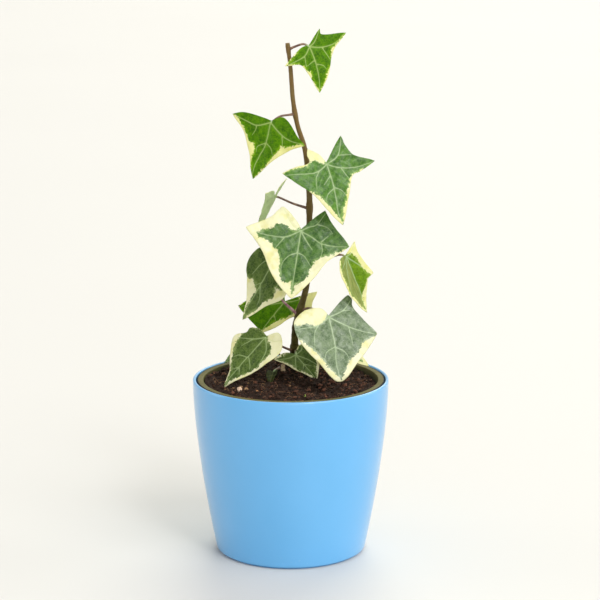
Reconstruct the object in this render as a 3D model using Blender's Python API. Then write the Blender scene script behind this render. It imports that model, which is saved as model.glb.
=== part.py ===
"""A young variegated ivy in its grow pot, standing in a round plastic planter.

Run with blender --background --python part.py, or from Blender's text editor.
Lengths below are millimetres and angles are degrees; the scene is in metres with +Z up.
The origin is the centre of the planter's foot, on the surface that it stands on.
"""

from math import cos, pi, radians, sin, sqrt

import bmesh
import bpy
from mathutils import Vector

MM = 0.001
GAP = 0.3  # between pieces that touch

# Planter: a barrel that widens upwards in one curve, with a round lip and a recessed foot.
POT_HEIGHT = 99.0
POT_TOP_RADIUS = 55.0
POT_BASE_RADIUS = 42.0
POT_WALL = 1.8
POT_BARREL = 1.55  # 1 is a straight cone
POT_FLOOR = 3.5
FOOT_RADIUS = 40.4
FOOT_HEIGHT = 1.2
LIP_BELOW_TOP = 3.0

# Grow pot that lines the planter: a cone with a flat rim, standing on the planter's floor.
LINER_TOP = 98.6
LINER_RIM_OUTER = 52.7
LINER_RIM_INNER = 49.1
LINER_SKIRT = 4.0
LINER_BASE_RADIUS = 36.0
LINER_WALL = 1.2
DRAIN_HOLES = 6
DRAIN_RADIUS = 3.0
DRAIN_CIRCLE = 24.0
DRAIN_TURN = 7.8  # how far round from +X the first hole is
LINER_RIM_CHAMFER = 0.4

SOIL_LEVEL = 94.0  # at the pot's axis
SOIL_INSET = 0.6  # between the soil's edge and the grow pot's wall
SOIL_MOUND = 1.5  # how much higher the soil is round the stem
SOIL_MOUND_SPREAD = 80.0  # the square of the distance at which that has halved
SOCKET_DEPTH = 0.05  # how far the stem's hole goes below its foot, as a part of its first stretch

STALK_RADIUS = 0.6
STALK_IN_BLADE = 0.8  # how far a stalk's end runs on past the point where it meets its blade
BLADE_THICKNESS = 0.5
PETIOLE_NOTCH = 1.2  # how near the blade's base notch comes to its stalk
TIP_FULLNESS = 7.0  # how far a lobe's sides bulge, as they leave its tip
LOBE_DIP = 0.002  # how much the blade's sides hang, per mm squared from its midrib
FOLD_SOFTNESS = 1.0  # the width over which the fold at the midrib is rounded

# Stem, from its buried foot to the cut top: x, y, z and radius.
STEM = [
    (2.0, 33.0, 84.0, 2.3),
    (2.3, 31.0, 95.0, 2.3),
    (2.2, 28.0, 104.5, 2.2),
    (2.1, 24.0, 112.0, 2.1),
    (2.6, 18.5, 122.0, 2.0),
    (4.6, 14.0, 132.5, 1.8),
    (8.7, 10.0, 149.0, 1.75),
    (10.2, 7.0, 168.0, 1.7),
    (10.4, 4.0, 187.0, 1.65),
    (10.3, 2.0, 204.0, 1.6),
    (8.2, 0.0, 227.0, 1.4),
    (3.9, 0.0, 241.5, 1.3),
    (1.4, -1.0, 255.5, 1.25),
    (0.0, -2.0, 273.5, 1.15),
    (-1.6, -2.0, 287.0, 1.1),
]

# Each leaf: where its stalk joins the blade; the way the midrib points, as a heading round +Z
# from +Y and a pitch above level; the roll about the midrib; the blade's margin as (angle from
# the midrib, reach) going round clockwise seen from above the blade, where a reach longer than
# both its neighbours is a lobe's pointed tip; how far each half folds up along the midrib; how
# much the midrib bends down, in degrees per mm; and the points that the stalk passes on its way
# from the stem.
LEAVES = {
    "leaf_top": dict(
        at=(10.5, -4.0, 285.2), heading=-122, pitch=-74, roll=42, fold=6, droop=0.15,
        margin=[(-137, 11.5), (-123, 9.5), (-98, 22), (-70, 13.5), (-22, 18), (0, 25.5),
                (20, 14), (41, 11.5), (66, 18), (77, 9.5), (95, 5)],
        stalk=[(-0.5, -2, 284.4), (2.7, -3, 285.2), (7, -4, 286.6)],
    ),
    "leaf_upper_left": dict(
        at=(-10.9, -7.0, 244.2), heading=103, pitch=-70, roll=-48, fold=6, droop=0.2,
        margin=[(-125, 9), (-84, 20), (-79, 25.5), (-58, 20), (-22, 22), (0, 32.5), (17, 21),
                (38, 17), (60, 17), (83, 24), (91, 17), (105, 5)],
        stalk=[(2.6, -1, 249), (-1.3, -3, 247.9), (-5.7, -6, 247.4)],
    ),
    "leaf_upper_right": dict(
        at=(19.9, -8.0, 221.4), heading=-147, pitch=-61, roll=17, fold=5, droop=0.2,
        margin=[(-140, 19), (-122, 15.5), (-95, 17), (-83, 27.5), (-66, 19), (-54, 15.5),
                (-21, 21), (0, 35), (15, 26), (32, 20.5), (50, 19.5), (90, 26), (95, 18),
                (106, 10), (127, 12), (142, 13.5), (155, 7)],
        stalk=[(9.7, 1, 213), (13.5, -2, 216.5), (17.5, -5.5, 220.5)],
    ),
    "leaf_side_on": dict(
        at=(-9.4, 4.0, 201.3), heading=47, pitch=-59, roll=-20, fold=6, droop=0.2,
        margin=[(-145, 7), (-118, 19), (-85, 10), (-45, 12), (0, 31), (45, 9), (90, 7),
                (134, 13.5), (155, 7)],
        stalk=[(10, 3, 194.5), (1.3, 2, 198), (-6.5, 3, 201.2)],
    ),
    "leaf_centre": dict(
        at=(5.7, -13.0, 185.3), heading=163, pitch=-64, roll=-21, fold=5, droop=0.2,
        margin=[(-139, 18), (-115, 17.5), (-89, 23.5), (-80, 28), (-61, 23.5), (-46, 22.5),
                (-22, 27.5), (0, 38), (17, 32), (31, 28), (53, 24.5), (72, 26.5), (85, 30.5),
                (93, 24), (108, 18), (124, 17), (137, 16.5), (150, 6)],
        stalk=[(10.4, 5, 180), (9.4, -1, 182), (7.4, -8, 184.5)],
    ),
    "leaf_right": dict(
        at=(31.2, 0.0, 168.3), heading=-64, pitch=-67, roll=69, fold=20, droop=0.1,
        margin=[(-123, 10), (-95, 7.5), (-60, 9.5), (-36, 21), (-20, 20), (0, 36), (15, 28),
                (27, 23), (46, 17), (75, 13), (105, 9)],
        stalk=[(10.2, 6, 165), (18, 4, 166), (27, 0.5, 169.3)],
    ),
    "leaf_left": dict(
        at=(-9.8, 1.0, 165.1), heading=111, pitch=-58, roll=-37, fold=4, droop=0.15,
        margin=[(-130, 12), (-105, 12), (-55, 21.5), (-25, 25), (0, 36.5), (7, 26.5), (31, 18),
                (50, 16.5), (75, 15), (105, 12.5), (130, 9)],
        stalk=[(4, 13, 132.5), (-5.8, 6, 143.9), (-8.6, 3, 156)],
    ),
    "leaf_behind": dict(
        at=(-4.0, 24.0, 137.0), heading=127, pitch=-45, roll=-29, fold=4, droop=0.1,
        margin=[(-140, 20), (-120, 17), (-98, 17), (-60, 11), (-21, 15.5), (2, 21.5), (15, 21),
                (32, 22), (57, 27), (80, 15), (110, 10), (140, 12)],
        stalk=[(3.5, 17, 126), (2, 21, 131), (-1.5, 24, 136)],
    ),
    "leaf_lower_right": dict(
        at=(21.3, -8.0, 135.7), heading=-162, pitch=-57, roll=-3, fold=4, droop=0.1,
        margin=[(-133, 18), (-123, 18.5), (-110, 16), (-87, 18.5), (-67, 29), (-44, 28),
                (-24, 30), (-4, 37), (4, 37), (17, 30), (36, 25.5), (54, 24), (80, 22),
                (88, 20.5), (104, 15.5), (120, 11), (145, 6)],
        stalk=[(5.8, 12.5, 136.5), (11.1, 8, 137.1), (18.2, -3, 137)],
    ),
    "leaf_lower_left": dict(
        at=(-14.2, -4.0, 123.2), heading=113, pitch=-44, roll=-28, fold=5, droop=0.1,
        margin=[(-143, 8), (-115, 11), (-87, 15), (-59, 16.5), (-33, 20.5), (0, 36.5), (7, 28),
                (27, 22.5), (59, 19.5), (70, 12.5), (85, 12), (105, 7)],
        stalk=[(2.2, 25.5, 109), (-4.8, 14, 113.6), (-11, 3, 120)],
    ),
    "leaf_front": dict(
        at=(2.8, 17.0, 108.0), heading=-126, pitch=-40, roll=23, fold=5, droop=0.2,
        margin=[(-118, 8.5), (-80, 10), (-38, 14), (-18, 16), (0, 19.5), (23, 12), (50, 10),
                (78, 10), (107, 14), (130, 7)],
        stalk=[(2.2, 25, 109), (2.6, 20, 109.6)],
    ),
    "leaf_rear_right": dict(
        at=(25.8, 26.0, 111.6), heading=-108, pitch=-27, roll=30, fold=5, droop=0.2,
        margin=[(-130, 8), (-105, 7), (-70, 14), (-40, 11), (0, 22.5), (30, 12), (70, 14),
                (105, 7), (130, 8)],
        stalk=[(2.4, 28.3, 103.5), (12, 30, 108), (20, 28, 111)],
    ),
    "leaf_rear_left": dict(
        at=(-18.8, 24.0, 112.1), heading=101, pitch=-23, roll=-34, fold=5, droop=0.2,
        margin=[(-130, 8), (-105, 7), (-70, 13), (-40, 11), (0, 22), (30, 13), (65, 15),
                (105, 7), (130, 8)],
        stalk=[(2.2, 29, 101), (-8, 29.5, 106), (-14, 27, 111)],
    ),
    "leaf_on_soil": dict(
        at=(-10.0, 15.0, 98.6), heading=174, pitch=-7, roll=10, fold=35, droop=0.2,
        margin=[(-110, 2.5), (-60, 4), (-25, 8), (0, 19), (25, 8), (60, 4), (110, 2.5)],
        stalk=[(-6.6, 20.5, 99.4), (-8.2, 18, 99.3)],
    ),
}

# Bits that lie on the soil: x, y, then half length, width and height, and the turn round Z.
SOIL_BITS = {
    "pale_grit": (-28.2, -21.8, 1.9, 1.5, 1.7, 80),
    "bark_chip_1": (-21.6, -13.0, 3.4, 1.1, 0.7, 25),
    "bark_chip_2": (-17.5, -22.0, 2.6, 1.0, 0.9, -50),
    "bark_chip_3": (34.5, -2.0, 2.8, 1.2, 0.8, 70),
}
BIT_GAP = 0.6  # above the soil, whose facets rise a little past the surface that they follow

# The dry end of an older shoot, and a first sprout: x, y, z above the soil and radius.
STEM_STUB = [(-4.6, 22.5, 1.0, 1.6), (-4.6, 23.0, 3.0, 1.3), (-4.5, 25.0, 5.8, 1.1)]
SPROUT = [(8.2, -30.0, 0.6, 0.5), (8.3, -30.1, 1.8, 0.9), (8.0, -30.4, 3.4, 0.25)]


# ---------------------------------------------------------------- scene and object helpers


def clear_scene():
    for thing in list(bpy.data.objects):
        bpy.data.objects.remove(thing, do_unlink=True)


def material(name, colour, roughness):
    made = bpy.data.materials.new(name)
    made.use_nodes = True
    shader = made.node_tree.nodes["Principled BSDF"]
    shader.inputs["Base Color"].default_value = (*colour, 1.0)
    shader.inputs["Roughness"].default_value = roughness
    shader.inputs["Metallic"].default_value = 0.0
    return made


def add_object(name, bm, finish):
    """An object made from bm, whose coordinates are millimetres."""
    bmesh.ops.recalc_face_normals(bm, faces=bm.faces)
    bmesh.ops.scale(bm, verts=bm.verts, vec=(MM, MM, MM))
    mesh = bpy.data.meshes.new(name)
    bm.to_mesh(mesh)
    bm.free()
    mesh.shade_smooth()
    mesh.set_sharp_from_angle(angle=radians(35))
    mesh.materials.append(finish)
    made = bpy.data.objects.new(name, mesh)
    bpy.context.scene.collection.objects.link(made)
    return made


def hide(helper):
    """Keeps a cutter or a shape that is joined into another out of the model."""
    helper.hide_render = True
    helper.display_type = "WIRE"


def combine(target, helper, operation):
    modifier = target.modifiers.new(helper.name, "BOOLEAN")
    modifier.operation = operation
    modifier.solver = "EXACT"
    modifier.object = helper
    hide(helper)


def turned(profile, segments):
    """A closed body turned round Z from (radius, z) points, which run from the axis to the axis."""
    bm = bmesh.new()
    rings = []
    for radius, z in profile:
        if radius == 0:
            rings.append([bm.verts.new((0, 0, z))])
            continue
        steps = [2 * pi * i / segments for i in range(segments)]
        rings.append([bm.verts.new((radius * cos(a), radius * sin(a), z)) for a in steps])
    for lower, upper in zip(rings, rings[1:]):
        join_rings(bm, lower, upper)
    return bm


def join_rings(bm, first, second):
    """Faces between two closed rings of equal count, either of which may be a single point."""
    count = max(len(first), len(second))
    for i in range(count):
        j = (i + 1) % count
        corners = [first[i % len(first)], first[j % len(first)],
                   second[j % len(second)], second[i % len(second)]]
        bm.faces.new(list(dict.fromkeys(corners)))


def smooth_path(points, steps):
    """A Catmull-Rom curve through the points, each a Vector of any size."""
    ends = [2 * points[0] - points[1], *points, 2 * points[-1] - points[-2]]
    path = []
    for a, b, c, d in zip(ends, ends[1:], ends[2:], ends[3:]):
        for i in range(steps):
            t = i / steps
            path.append(0.5 * ((2 * b) + (c - a) * t + (2 * a - 5 * b + 4 * c - d) * t * t
                               + (3 * b - a - 3 * c + d) * t ** 3))
    return path + [points[-1]]


def tube(path, sides):
    """A closed round tube along the path, whose points are Vectors of x, y, z and radius."""
    bm = bmesh.new()
    across = Vector((0, 1, 0))
    rings = []
    for i, point in enumerate(path):
        before, after = path[max(i - 1, 0)].xyz, path[min(i + 1, len(path) - 1)].xyz
        along = (after - before).normalized()
        across = (across - along * across.dot(along)).normalized()
        other = along.cross(across)
        turns = [2 * pi * k / sides for k in range(sides)]
        rings.append([bm.verts.new(point.xyz + point.w * (cos(a) * across + sin(a) * other))
                      for a in turns])
    for first, second in zip(rings, rings[1:]):
        join_rings(bm, first, second)
    bm.faces.new(rings[0])
    bm.faces.new(rings[-1])
    return bm


# ---------------------------------------------------------------- planter and grow pot


def pot_radius(z):
    """The planter's outer radius at a height."""
    rise = min(z / (POT_HEIGHT - LIP_BELOW_TOP), 1)
    return POT_BASE_RADIUS + (POT_TOP_RADIUS - POT_BASE_RADIUS) * (1 - (1 - rise) ** POT_BARREL)


def build_pot():
    side_steps = 7
    side_top = POT_HEIGHT - LIP_BELOW_TOP
    heights = [FOOT_HEIGHT + (side_top - FOOT_HEIGHT) * i / side_steps for i in range(side_steps + 1)]
    outside = [(pot_radius(z), z) for z in heights]
    inside = [(pot_radius(z) - POT_WALL, z) for z in heights if z > POT_FLOOR]
    lip_middle = POT_TOP_RADIUS - POT_WALL / 2
    lip_round = POT_WALL / 2
    lip = [(lip_middle + lip_round * cos(radians(a)), POT_HEIGHT - lip_round + lip_round * sin(radians(a)))
           for a in (0, 45, 90, 135, 180)]
    floor_corner = (pot_radius(POT_FLOOR) - POT_WALL - 1, POT_FLOOR)
    profile = [(0, 0), (FOOT_RADIUS, 0), (FOOT_RADIUS, FOOT_HEIGHT), *outside, *lip,
               *reversed(inside), floor_corner, (0, POT_FLOOR)]
    blue = material("blue_plastic", (0.16, 0.47, 0.80), 0.35)
    add_object("pot", turned(profile, 64), blue)


def liner_outer_radius(z):
    """The grow pot's outer radius below its rim."""
    foot = POT_FLOOR + GAP
    top = LINER_RIM_INNER + LINER_WALL
    return LINER_BASE_RADIUS + (top - LINER_BASE_RADIUS) * (z - foot) / (LINER_TOP - foot)


def build_inner_pot():
    foot = POT_FLOOR + GAP
    under_rim = LINER_TOP - LINER_WALL
    skirt_end = LINER_TOP - LINER_SKIRT
    floor = foot + LINER_WALL
    profile = [
        (0, foot),
        (LINER_BASE_RADIUS, foot),
        (liner_outer_radius(under_rim), under_rim),
        (LINER_RIM_OUTER - LINER_WALL, under_rim),
        (LINER_RIM_OUTER - LINER_WALL, skirt_end),
        (LINER_RIM_OUTER, skirt_end),
        (LINER_RIM_OUTER, LINER_TOP - LINER_RIM_CHAMFER),
        (LINER_RIM_OUTER - LINER_RIM_CHAMFER, LINER_TOP),
        (LINER_RIM_INNER, LINER_TOP),
        (liner_outer_radius(floor) - LINER_WALL, floor),
        (0, floor),
    ]
    olive = material("olive_plastic", (0.22, 0.20, 0.07), 0.5)
    liner = add_object("inner_pot", turned(profile, 64), olive)
    drill_length = 6 * LINER_WALL
    for i in range(DRAIN_HOLES):
        angle = 2 * pi * i / DRAIN_HOLES + radians(DRAIN_TURN)
        bm = bmesh.new()
        bmesh.ops.create_cone(bm, cap_ends=True, segments=12, radius1=DRAIN_RADIUS,
                              radius2=DRAIN_RADIUS, depth=drill_length)
        centre = Vector((DRAIN_CIRCLE * cos(angle), DRAIN_CIRCLE * sin(angle), foot))
        bmesh.ops.translate(bm, verts=bm.verts, vec=centre)
        combine(liner, add_object(f"drain_hole_{i + 1}", bm, olive), "DIFFERENCE")


# ---------------------------------------------------------------- soil


def soil_height(x, y):
    """The soil's surface: a low uneven bed, a little lower on the right."""
    swell = 0.7 * sin(0.11 * x + 0.6) * cos(0.13 * y - 0.4) + 0.4 * sin(0.23 * y + 0.17 * x)
    from_stem = (x - STEM[1][0]) ** 2 + (y - STEM[1][1]) ** 2
    mound = SOIL_MOUND / (1 + from_stem / SOIL_MOUND_SPREAD)
    return SOIL_LEVEL - 0.025 * x + swell + mound


def build_soil():
    foot = POT_FLOOR + GAP + LINER_WALL + GAP
    bottom_radius = liner_outer_radius(foot) - LINER_WALL - GAP
    edge_radius = liner_outer_radius(SOIL_LEVEL) - LINER_WALL - SOIL_INSET
    segments, surface_rings = 40, 6
    turns = [2 * pi * i / segments for i in range(segments)]
    bm = bmesh.new()
    bottom = [bm.verts.new((bottom_radius * cos(a), bottom_radius * sin(a), foot)) for a in turns]
    rings = [[bm.verts.new((0, 0, foot))], bottom]
    for k in range(surface_rings, 0, -1):
        radius = edge_radius * k / surface_rings
        spots = [(radius * cos(a), radius * sin(a)) for a in turns]
        rings.append([bm.verts.new((x, y, soil_height(x, y))) for x, y in spots])
    rings.append([bm.verts.new((0, 0, soil_height(0, 0)))])
    for lower, upper in zip(rings, rings[1:]):
        join_rings(bm, lower, upper)
    soil = add_object("soil", bm, material("soil", (0.05, 0.028, 0.018), 0.95))

    foot_point, above = Vector(STEM[0]), Vector(STEM[1])
    higher = Vector(STEM[2])
    socket = [foot_point - SOCKET_DEPTH * (above - foot_point), above, higher]
    for point in socket:
        point.w = STEM[0][3] + GAP
    cutter = add_object("stem_socket", tube(socket, 14), soil.data.materials[0])
    combine(soil, cutter, "DIFFERENCE")


# ---------------------------------------------------------------- stem and leaves


def build_stem():
    path = smooth_path([Vector(point) for point in STEM], 2)
    add_object("stem", tube(path, 10), material("stem_bark", (0.13, 0.07, 0.04), 0.6))


def margin_outline(margin, steps):
    """The blade's margin as 2-D points, from its base notch round and back to it.

    Each stretch between two of the margin's points is a cubic curve. It runs on smoothly
    except at the notch and at the lobe tips, which are pointed.
    """
    polar = [(-180, PETIOLE_NOTCH), *margin, (180, PETIOLE_NOTCH)]
    points = [reach * Vector((sin(radians(angle)), cos(radians(angle)))) for angle, reach in polar]
    reaches = [reach for _, reach in polar]
    outline = []
    for i in range(len(points) - 1):
        start, end = points[i], points[i + 1]
        chord = end - start
        away, arrive = chord.normalized(), chord.normalized()
        if 0 < i and not reaches[i - 1] < reaches[i] > reaches[i + 1]:
            away = (end - points[i - 1]).normalized()
        elif i > 0:
            away = turned_by(away, TIP_FULLNESS)
        if i + 2 < len(points) and not reaches[i] < reaches[i + 1] > reaches[i + 2]:
            arrive = (points[i + 2] - start).normalized()
        elif i + 2 < len(points):
            arrive = turned_by(arrive, -TIP_FULLNESS)
        handle = chord.length / 3
        bend = [start, start + handle * away, end - handle * arrive, end]
        for k in range(steps):
            t = k / steps
            outline.append((1 - t) ** 3 * bend[0] + 3 * t * (1 - t) ** 2 * bend[1]
                           + 3 * t * t * (1 - t) * bend[2] + t ** 3 * bend[3])
    return outline


def turned_by(direction, angle):
    """A 2-D direction turned anticlockwise."""
    c, s = cos(radians(angle)), sin(radians(angle))
    return Vector((c * direction.x - s * direction.y, s * direction.x + c * direction.y))


def bent(x, y, fold, droop):
    """Where a point of the flat blade goes when its halves fold up and its midrib bends down."""
    side = sqrt(x * x + FOLD_SOFTNESS * FOLD_SOFTNESS) - FOLD_SOFTNESS
    lift = side * sin(radians(fold))
    across = x - (1 if x > 0 else -1) * side * (1 - cos(radians(fold)))
    curve = radians(droop)
    along = sin(curve * y) / curve
    dip = (1 - cos(curve * y)) / curve
    lobes_dip = LOBE_DIP * x * x
    return Vector((across, along, lift - dip - lobes_dip))


def build_leaf(name, leaf, green, stalk_green):
    outline = margin_outline(leaf["margin"], 3)
    rings = 2
    bm = bmesh.new()
    levels = [[bm.verts.new((0, 0, 0))]]
    for k in range(1, rings + 1):
        scaled = [point * k / rings for point in outline]
        levels.append([bm.verts.new(bent(p.x, p.y, leaf["fold"], leaf["droop"])) for p in scaled])
    for inner, outer in zip(levels, levels[1:]):
        join_rings(bm, inner, outer)
    thicken(bm, BLADE_THICKNESS)
    blade = add_object(name, bm, green)
    blade.location = Vector(leaf["at"]) * MM
    blade.rotation_mode = "YXZ"
    blade.rotation_euler = [radians(leaf[turn]) for turn in ("pitch", "roll", "heading")]

    at = Vector(leaf["at"])
    way = [Vector(point) for point in leaf["stalk"]]
    way[0] = clear_of_stem(way[0], way[1])
    way += [at, at + STALK_IN_BLADE * (at - way[-1]).normalized()]
    path = smooth_path([Vector((*point, STALK_RADIUS)) for point in way], 3)
    combine(blade, add_object(name + "_stalk", tube(path, 6), stalk_green), "UNION")


def clear_of_stem(start, towards):
    """The stalk's foot, moved straight out of the stem to a gap away from its surface."""
    stem_points = smooth_path([Vector(point) for point in STEM], 8)
    near = min(stem_points[1:-1], key=lambda point: (point.xyz - start).length)
    clearance = near.w + GAP + 1.2 * STALK_RADIUS
    if (start - near.xyz).length > clearance:
        return start
    place = stem_points.index(near)
    along = (stem_points[place + 1].xyz - stem_points[place - 1].xyz).normalized()
    out = towards - near.xyz
    out = (out - along * out.dot(along)).normalized()
    return near.xyz + out * clearance


def thicken(bm, thickness):
    """Gives an open sheet a thickness, half to each side."""
    bm.normal_update()
    top = list(bm.faces)
    edge = [e for e in bm.edges if e.is_boundary]
    normals = {v: v.normal.copy() for v in bm.verts}
    twin = {v: bm.verts.new(v.co - thickness / 2 * n) for v, n in normals.items()}
    for vert, normal in normals.items():
        vert.co += thickness / 2 * normal
    for face in top:
        bm.faces.new([twin[v] for v in reversed(face.verts)])
    for e in edge:
        a, b = e.verts
        bm.faces.new([a, b, twin[b], twin[a]])


# ---------------------------------------------------------------- small things on the soil


def build_soil_bits():
    for name, (x, y, length, width, height, turn) in SOIL_BITS.items():
        bm = bmesh.new()
        bmesh.ops.create_icosphere(bm, subdivisions=1, radius=1)
        for vert in bm.verts:
            rough = 1 + 0.12 * sin(7 * vert.co.x + 4 * vert.co.y) * cos(6 * vert.co.z + x)
            vert.co = rough * Vector((vert.co.x * length, vert.co.y * width, vert.co.z * height))
        pale = name == "pale_grit"
        finish = material(name, (0.62, 0.45, 0.33) if pale else (0.32, 0.13, 0.05), 0.8)
        bit = add_object(name, bm, finish)
        rest = soil_height(x, y) + BIT_GAP + height
        bit.location = Vector((x, y, rest)) * MM
        bit.rotation_euler.z = radians(turn)


def build_shoots():
    for name, shoot, colour in (("stem_stub", STEM_STUB, (0.45, 0.33, 0.20)),
                                ("sprout", SPROUT, (0.30, 0.40, 0.08))):
        ground = soil_height(shoot[0][0], shoot[0][1])
        points = [Vector((x, y, ground + z, radius)) for x, y, z, radius in shoot]
        add_object(name, tube(smooth_path(points, 3), 8), material(name, colour, 0.7))


def main():
    clear_scene()
    build_pot()
    build_inner_pot()
    build_soil()
    build_stem()
    green = material("leaf_green", (0.07, 0.17, 0.05), 0.35)
    stalk_green = material("stalk_green", (0.15, 0.12, 0.05), 0.45)
    for name, leaf in LEAVES.items():
        build_leaf(name, leaf, green, stalk_green)
    build_soil_bits()
    build_shoots()


main()
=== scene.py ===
"""The looks of a young variegated ivy in its grow pot, standing in a round plastic planter.

Shapes are worked out in millimetres and turned into metres as each piece is made, in the frame
of the CAD model: the origin is the centre of the planter's foot, and +Z is up. The stem, the
leaves and the small things on the soil follow the same guiding values as the CAD model's.
"""

from math import atan, cos, exp, pi, radians, sin, sqrt

import bmesh
import bpy
import numpy as np
from mathutils import Matrix, Vector, noise


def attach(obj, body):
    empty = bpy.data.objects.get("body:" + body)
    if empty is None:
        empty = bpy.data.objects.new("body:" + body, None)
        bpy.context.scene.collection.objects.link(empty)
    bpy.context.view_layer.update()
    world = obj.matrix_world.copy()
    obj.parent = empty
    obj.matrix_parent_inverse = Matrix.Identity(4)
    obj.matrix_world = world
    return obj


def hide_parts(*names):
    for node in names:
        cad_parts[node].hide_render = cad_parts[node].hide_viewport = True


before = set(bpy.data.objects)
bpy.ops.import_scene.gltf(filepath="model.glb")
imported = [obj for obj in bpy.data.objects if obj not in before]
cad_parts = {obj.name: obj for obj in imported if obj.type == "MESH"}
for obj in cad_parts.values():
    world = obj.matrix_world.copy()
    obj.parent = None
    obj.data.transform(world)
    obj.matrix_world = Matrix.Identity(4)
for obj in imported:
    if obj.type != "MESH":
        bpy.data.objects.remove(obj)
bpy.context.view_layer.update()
BODY = "root"
MM = 0.001

# Planter, as in the CAD model.
POT_HEIGHT = 99.0
POT_TOP_RADIUS = 55.0
POT_BASE_RADIUS = 42.0
POT_WALL = 1.8
POT_BARREL = 1.55  # 1 is a straight cone
POT_FLOOR = 3.5
FOOT_RADIUS = 40.4
FOOT_HEIGHT = 1.2
FOOT_HOLLOW = 0.6  # how far the middle of the base stands off the ground
FOOT_EDGE = 0.5  # how far its edges are rounded
FLOOR_FILLET = 2.0
LIP_BELOW_TOP = 3.0

# Grow pot that lines the planter.
LINER_FOOT = 3.8
LINER_TOP = 98.6
LINER_RIM_OUTER = 52.7
LINER_RIM_INNER = 49.1
LINER_SKIRT = 4.0
LINER_BASE_RADIUS = 36.0
LINER_WALL = 1.2
LINER_EDGE = 0.45
DRAIN_HOLES = 6
DRAIN_RADIUS = 3.0
DRAIN_CIRCLE = 24.0
PLATE_RADIUS = DRAIN_CIRCLE + DRAIN_RADIUS + 2.0  # of the floor that the holes are cut in
PLATE_HUB = DRAIN_CIRCLE - DRAIN_RADIUS - 4.0

SOIL_LEVEL = 94.0  # at the pot's axis
SOIL_FOOT = 5.3
SOIL_MOUND = 1.5  # how much higher the soil is round the stem
SOIL_MOUND_SPREAD = 80.0  # the square of the distance at which that has halved
CRUMBS = 1700
FIBRES = 230
FIBRE_RADIUS = 0.11

STALK_RADIUS = 0.6
STALK_NEAR = 3.0  # how near the stem's surface a stalk starts, if it grows from the stem
STALK_ROOT = 0.7  # where inside the stem it starts then, as a part of the stem's radius
STALK_SIDES = 14
NODE_SWELL = 0.20  # how much the stem swells where a stalk starts, as a part of its radius
NODE_MOST = 0.28  # the most that it swells, where several stalks start
NODE_SPREAD = 3.0  # the square of the distance at which the swelling has sunk to 1 / e
NODE_REACH = 9.0  # how far from a stalk's start it ends
STEM_SIDES = 28
BLADE_THICKNESS = 0.36
BLADE_RIM = 0.16  # its thickness at the margin
BLADE_SPACING = 0.85  # between the points of a blade's mesh
FOLD_SOFTNESS = 1.0  # the width over which the fold at the midrib is rounded
LOBE_DIP = 0.002  # how much the blade's sides hang, per mm squared from its midrib
PETIOLE_NOTCH = 1.2  # how near the blade's base notch comes to its stalk
TIP_FULLNESS = 7.0  # how far a lobe's sides bulge, as they leave its tip, in degrees
MAIN_VEIN = 0.50  # a vein's width where it starts
SIDE_VEIN = 0.33
VEIN_TAPER = 0.65  # how much of that it has lost at its end
LEAF_SHIFT = 37.0  # how far apart the leaves lie in the noise that mottles them

# Stem, from its buried foot to the cut top: x, y, z and radius.
STEM = [
    (2.0, 33.0, 84.0, 2.3),
    (2.3, 31.0, 95.0, 2.3),
    (2.2, 28.0, 104.5, 2.2),
    (2.1, 24.0, 112.0, 2.1),
    (2.6, 18.5, 122.0, 2.0),
    (4.6, 14.0, 132.5, 1.8),
    (8.7, 10.0, 149.0, 1.75),
    (10.2, 7.0, 168.0, 1.7),
    (10.4, 4.0, 187.0, 1.65),
    (10.3, 2.0, 204.0, 1.6),
    (8.2, 0.0, 227.0, 1.4),
    (3.9, 0.0, 241.5, 1.3),
    (1.4, -1.0, 255.5, 1.25),
    (0.0, -2.0, 273.5, 1.15),
    (-1.6, -2.0, 287.0, 1.1),
]

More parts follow.
